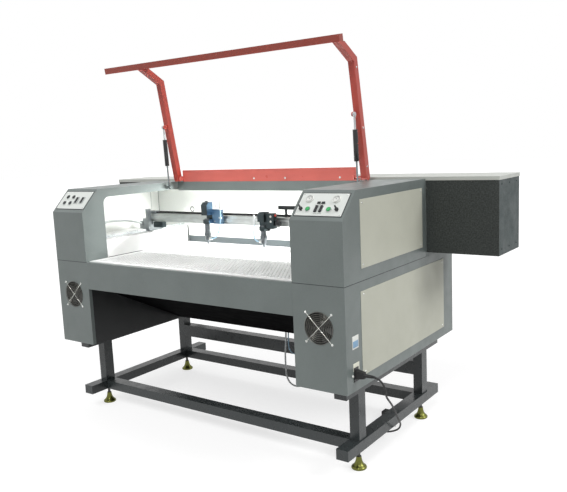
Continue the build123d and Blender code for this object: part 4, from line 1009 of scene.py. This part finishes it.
def build_louvres(mesh):
    for x in (-420, 0, 420):
        for step in range(7):
            place = Matrix.Translation(at(x, housing_back, louvre_foot + louvre_pitch * step))
            add_block(mesh, place @ Matrix.Rotation(louvre_tilt, 4, "X"), (180, 7.0, 5.0), 1.0)


piece("rear_louvres", "cabinet", cabinet_paint, build_louvres)


def build_rear_screws(mesh):
    for x in (-728, -582, 576, 728):
        for z in (392, 678):
            pan_screw(mesh, at(x, pedestal_back, z), (0, 1, 0), 3.4)
    for x in (-700, -560, 560, 700):
        for z in (770, 1010):
            pan_screw(mesh, at(x, housing_back, z), (0, 1, 0), 3.4)


piece("rear_screws", "cabinet", screw_metal, build_rear_screws)


def build_glands(mesh):
    profile = [(0, -1), (11, -1), (11, 5), (9, 6), (9, 16), (7, 19), (4.5, 20), (4.5, 12), (0, 12)]
    for x in (-620, -580, 580, 620):
        add_lathe(mesh, placed(at(x, housing_back, 790), (0, 1, 0)), profile, 24, (1, 2))


piece("rear_glands", "cabinet", black_plastic, build_glands)


def build_beads(mesh):
    for y in (812, 842):
        add_torus(mesh, placed(at(-3, y, 519.8), (0, 1, 0)), 76.0, 2.2, 64)


piece("duct_beads", "cabinet", duct_metal, build_beads, smooth=60)


def build_lid_screws(mesh):
    """Screws along the arms of the lid."""
    for x, out in ((-546, -1), (540, 1)):
        for y, z in ((578, 1095), (551, 1250), (510, 1485)):
            pan_screw(mesh, at(x, y, z), (out, 0, 0), 4.0)


piece("lid_screws", "lid", screw_metal, build_lid_screws)

# Camera of the photograph
camera = bpy.data.objects.new("camera", bpy.data.cameras.new("camera"))
scene.collection.objects.link(camera)
azimuth, elevation, roll = radians(35.75), radians(8.42), radians(-2.53)
ahead = Vector((-sin(azimuth) * cos(elevation), cos(azimuth) * cos(elevation), -sin(elevation)))
camera.location = (1.8973, -2.37795, 1.1995)
camera.rotation_mode = "QUATERNION"
camera.rotation_quaternion = ahead.to_track_quat("-Z", "Y") @ Quaternion((0, 0, 1), roll)
camera.data.lens = 43.68
camera.data.sensor_width = 36.0
scene.camera = camera

# Plain pale floor and soft light
scene.view_settings.view_transform = "Standard"


def seen_by_eye(tree):
    """One for rays that come from the camera or by way of a mirror or glass."""
    path = tree.nodes.new("ShaderNodeLightPath")
    total = None
    for name in ("Is Camera Ray", "Is Glossy Ray", "Is Transmission Ray"):
        if total is None:
            total = path.outputs[name]
            continue
        most = tree.nodes.new("ShaderNodeMath")
        most.operation = "MAXIMUM"
        tree.links.new(total, most.inputs[0])
        tree.links.new(path.outputs[name], most.inputs[1])
        total = most.outputs[0]
    return total


world = bpy.data.worlds.new("studio")
scene.world = world
world.use_nodes = True
sky = world.node_tree
sky_level = sky.nodes.new("ShaderNodeMapRange")
sky_level.inputs["To Min"].default_value = 0.45
sky_level.inputs["To Max"].default_value = 1.0
sky.links.new(seen_by_eye(sky), sky_level.inputs["Value"])
sky.nodes["Background"].inputs["Color"].default_value = (1.0, 1.0, 1.0, 1.0)
sky.links.new(sky_level.outputs[0], sky.nodes["Background"].inputs["Strength"])

floor_mesh = bpy.data.meshes.new("floor")
floor_mesh.from_pydata([(-30, -30, 0), (30, -30, 0), (30, 30, 0), (-30, 30, 0)], [], [(0, 1, 2, 3)])
floor = bpy.data.objects.new("floor", floor_mesh)
scene.collection.objects.link(floor)
ground = bpy.data.materials.new("floor_white")
ground.use_nodes = True
ground_tree = ground.node_tree
ground_shader = ground_tree.nodes["Principled BSDF"]
ground_shader.inputs["Base Color"].default_value = (0.35, 0.35, 0.35, 1.0)
ground_shader.inputs["Roughness"].default_value = 0.9
glow = ground_tree.nodes.new("ShaderNodeMapRange")
glow.inputs["To Max"].default_value = 0.72
ground_tree.links.new(seen_by_eye(ground_tree), glow.inputs["Value"])
ground_shader.inputs["Emission Color"].default_value = (1.0, 1.0, 1.0, 1.0)
ground_tree.links.new(glow.outputs[0], ground_shader.inputs["Emission Strength"])
floor_mesh.materials.append(ground)


def lamp(name, kind, energy, place, target, size):
    data = bpy.data.lights.new(name, kind)
    data.energy = energy
    if kind == "SUN":
        data.angle = radians(size)
    else:
        data.shape = "RECTANGLE"
        data.size, data.size_y = size
    made = bpy.data.objects.new(name, data)
    scene.collection.objects.link(made)
    made.location = place
    made.rotation_euler = (Vector(target) - Vector(place)).to_track_quat("-Z", "Y").to_euler()
    made.visible_camera = False
    made.visible_glossy = kind != "AREA"


lamp("key", "SUN", 1.7, (0.6, -2.8, 4.2), (0, 0, 0.8), 25)
lamp("side", "SUN", 1.5, (4.0, 1.0, 4.0), (0, 0, 0.8), 25)
lamp("chamber", "AREA", 13.0, at(0, 590, 985), at(0, 250, 700), (1.0, 0.03))
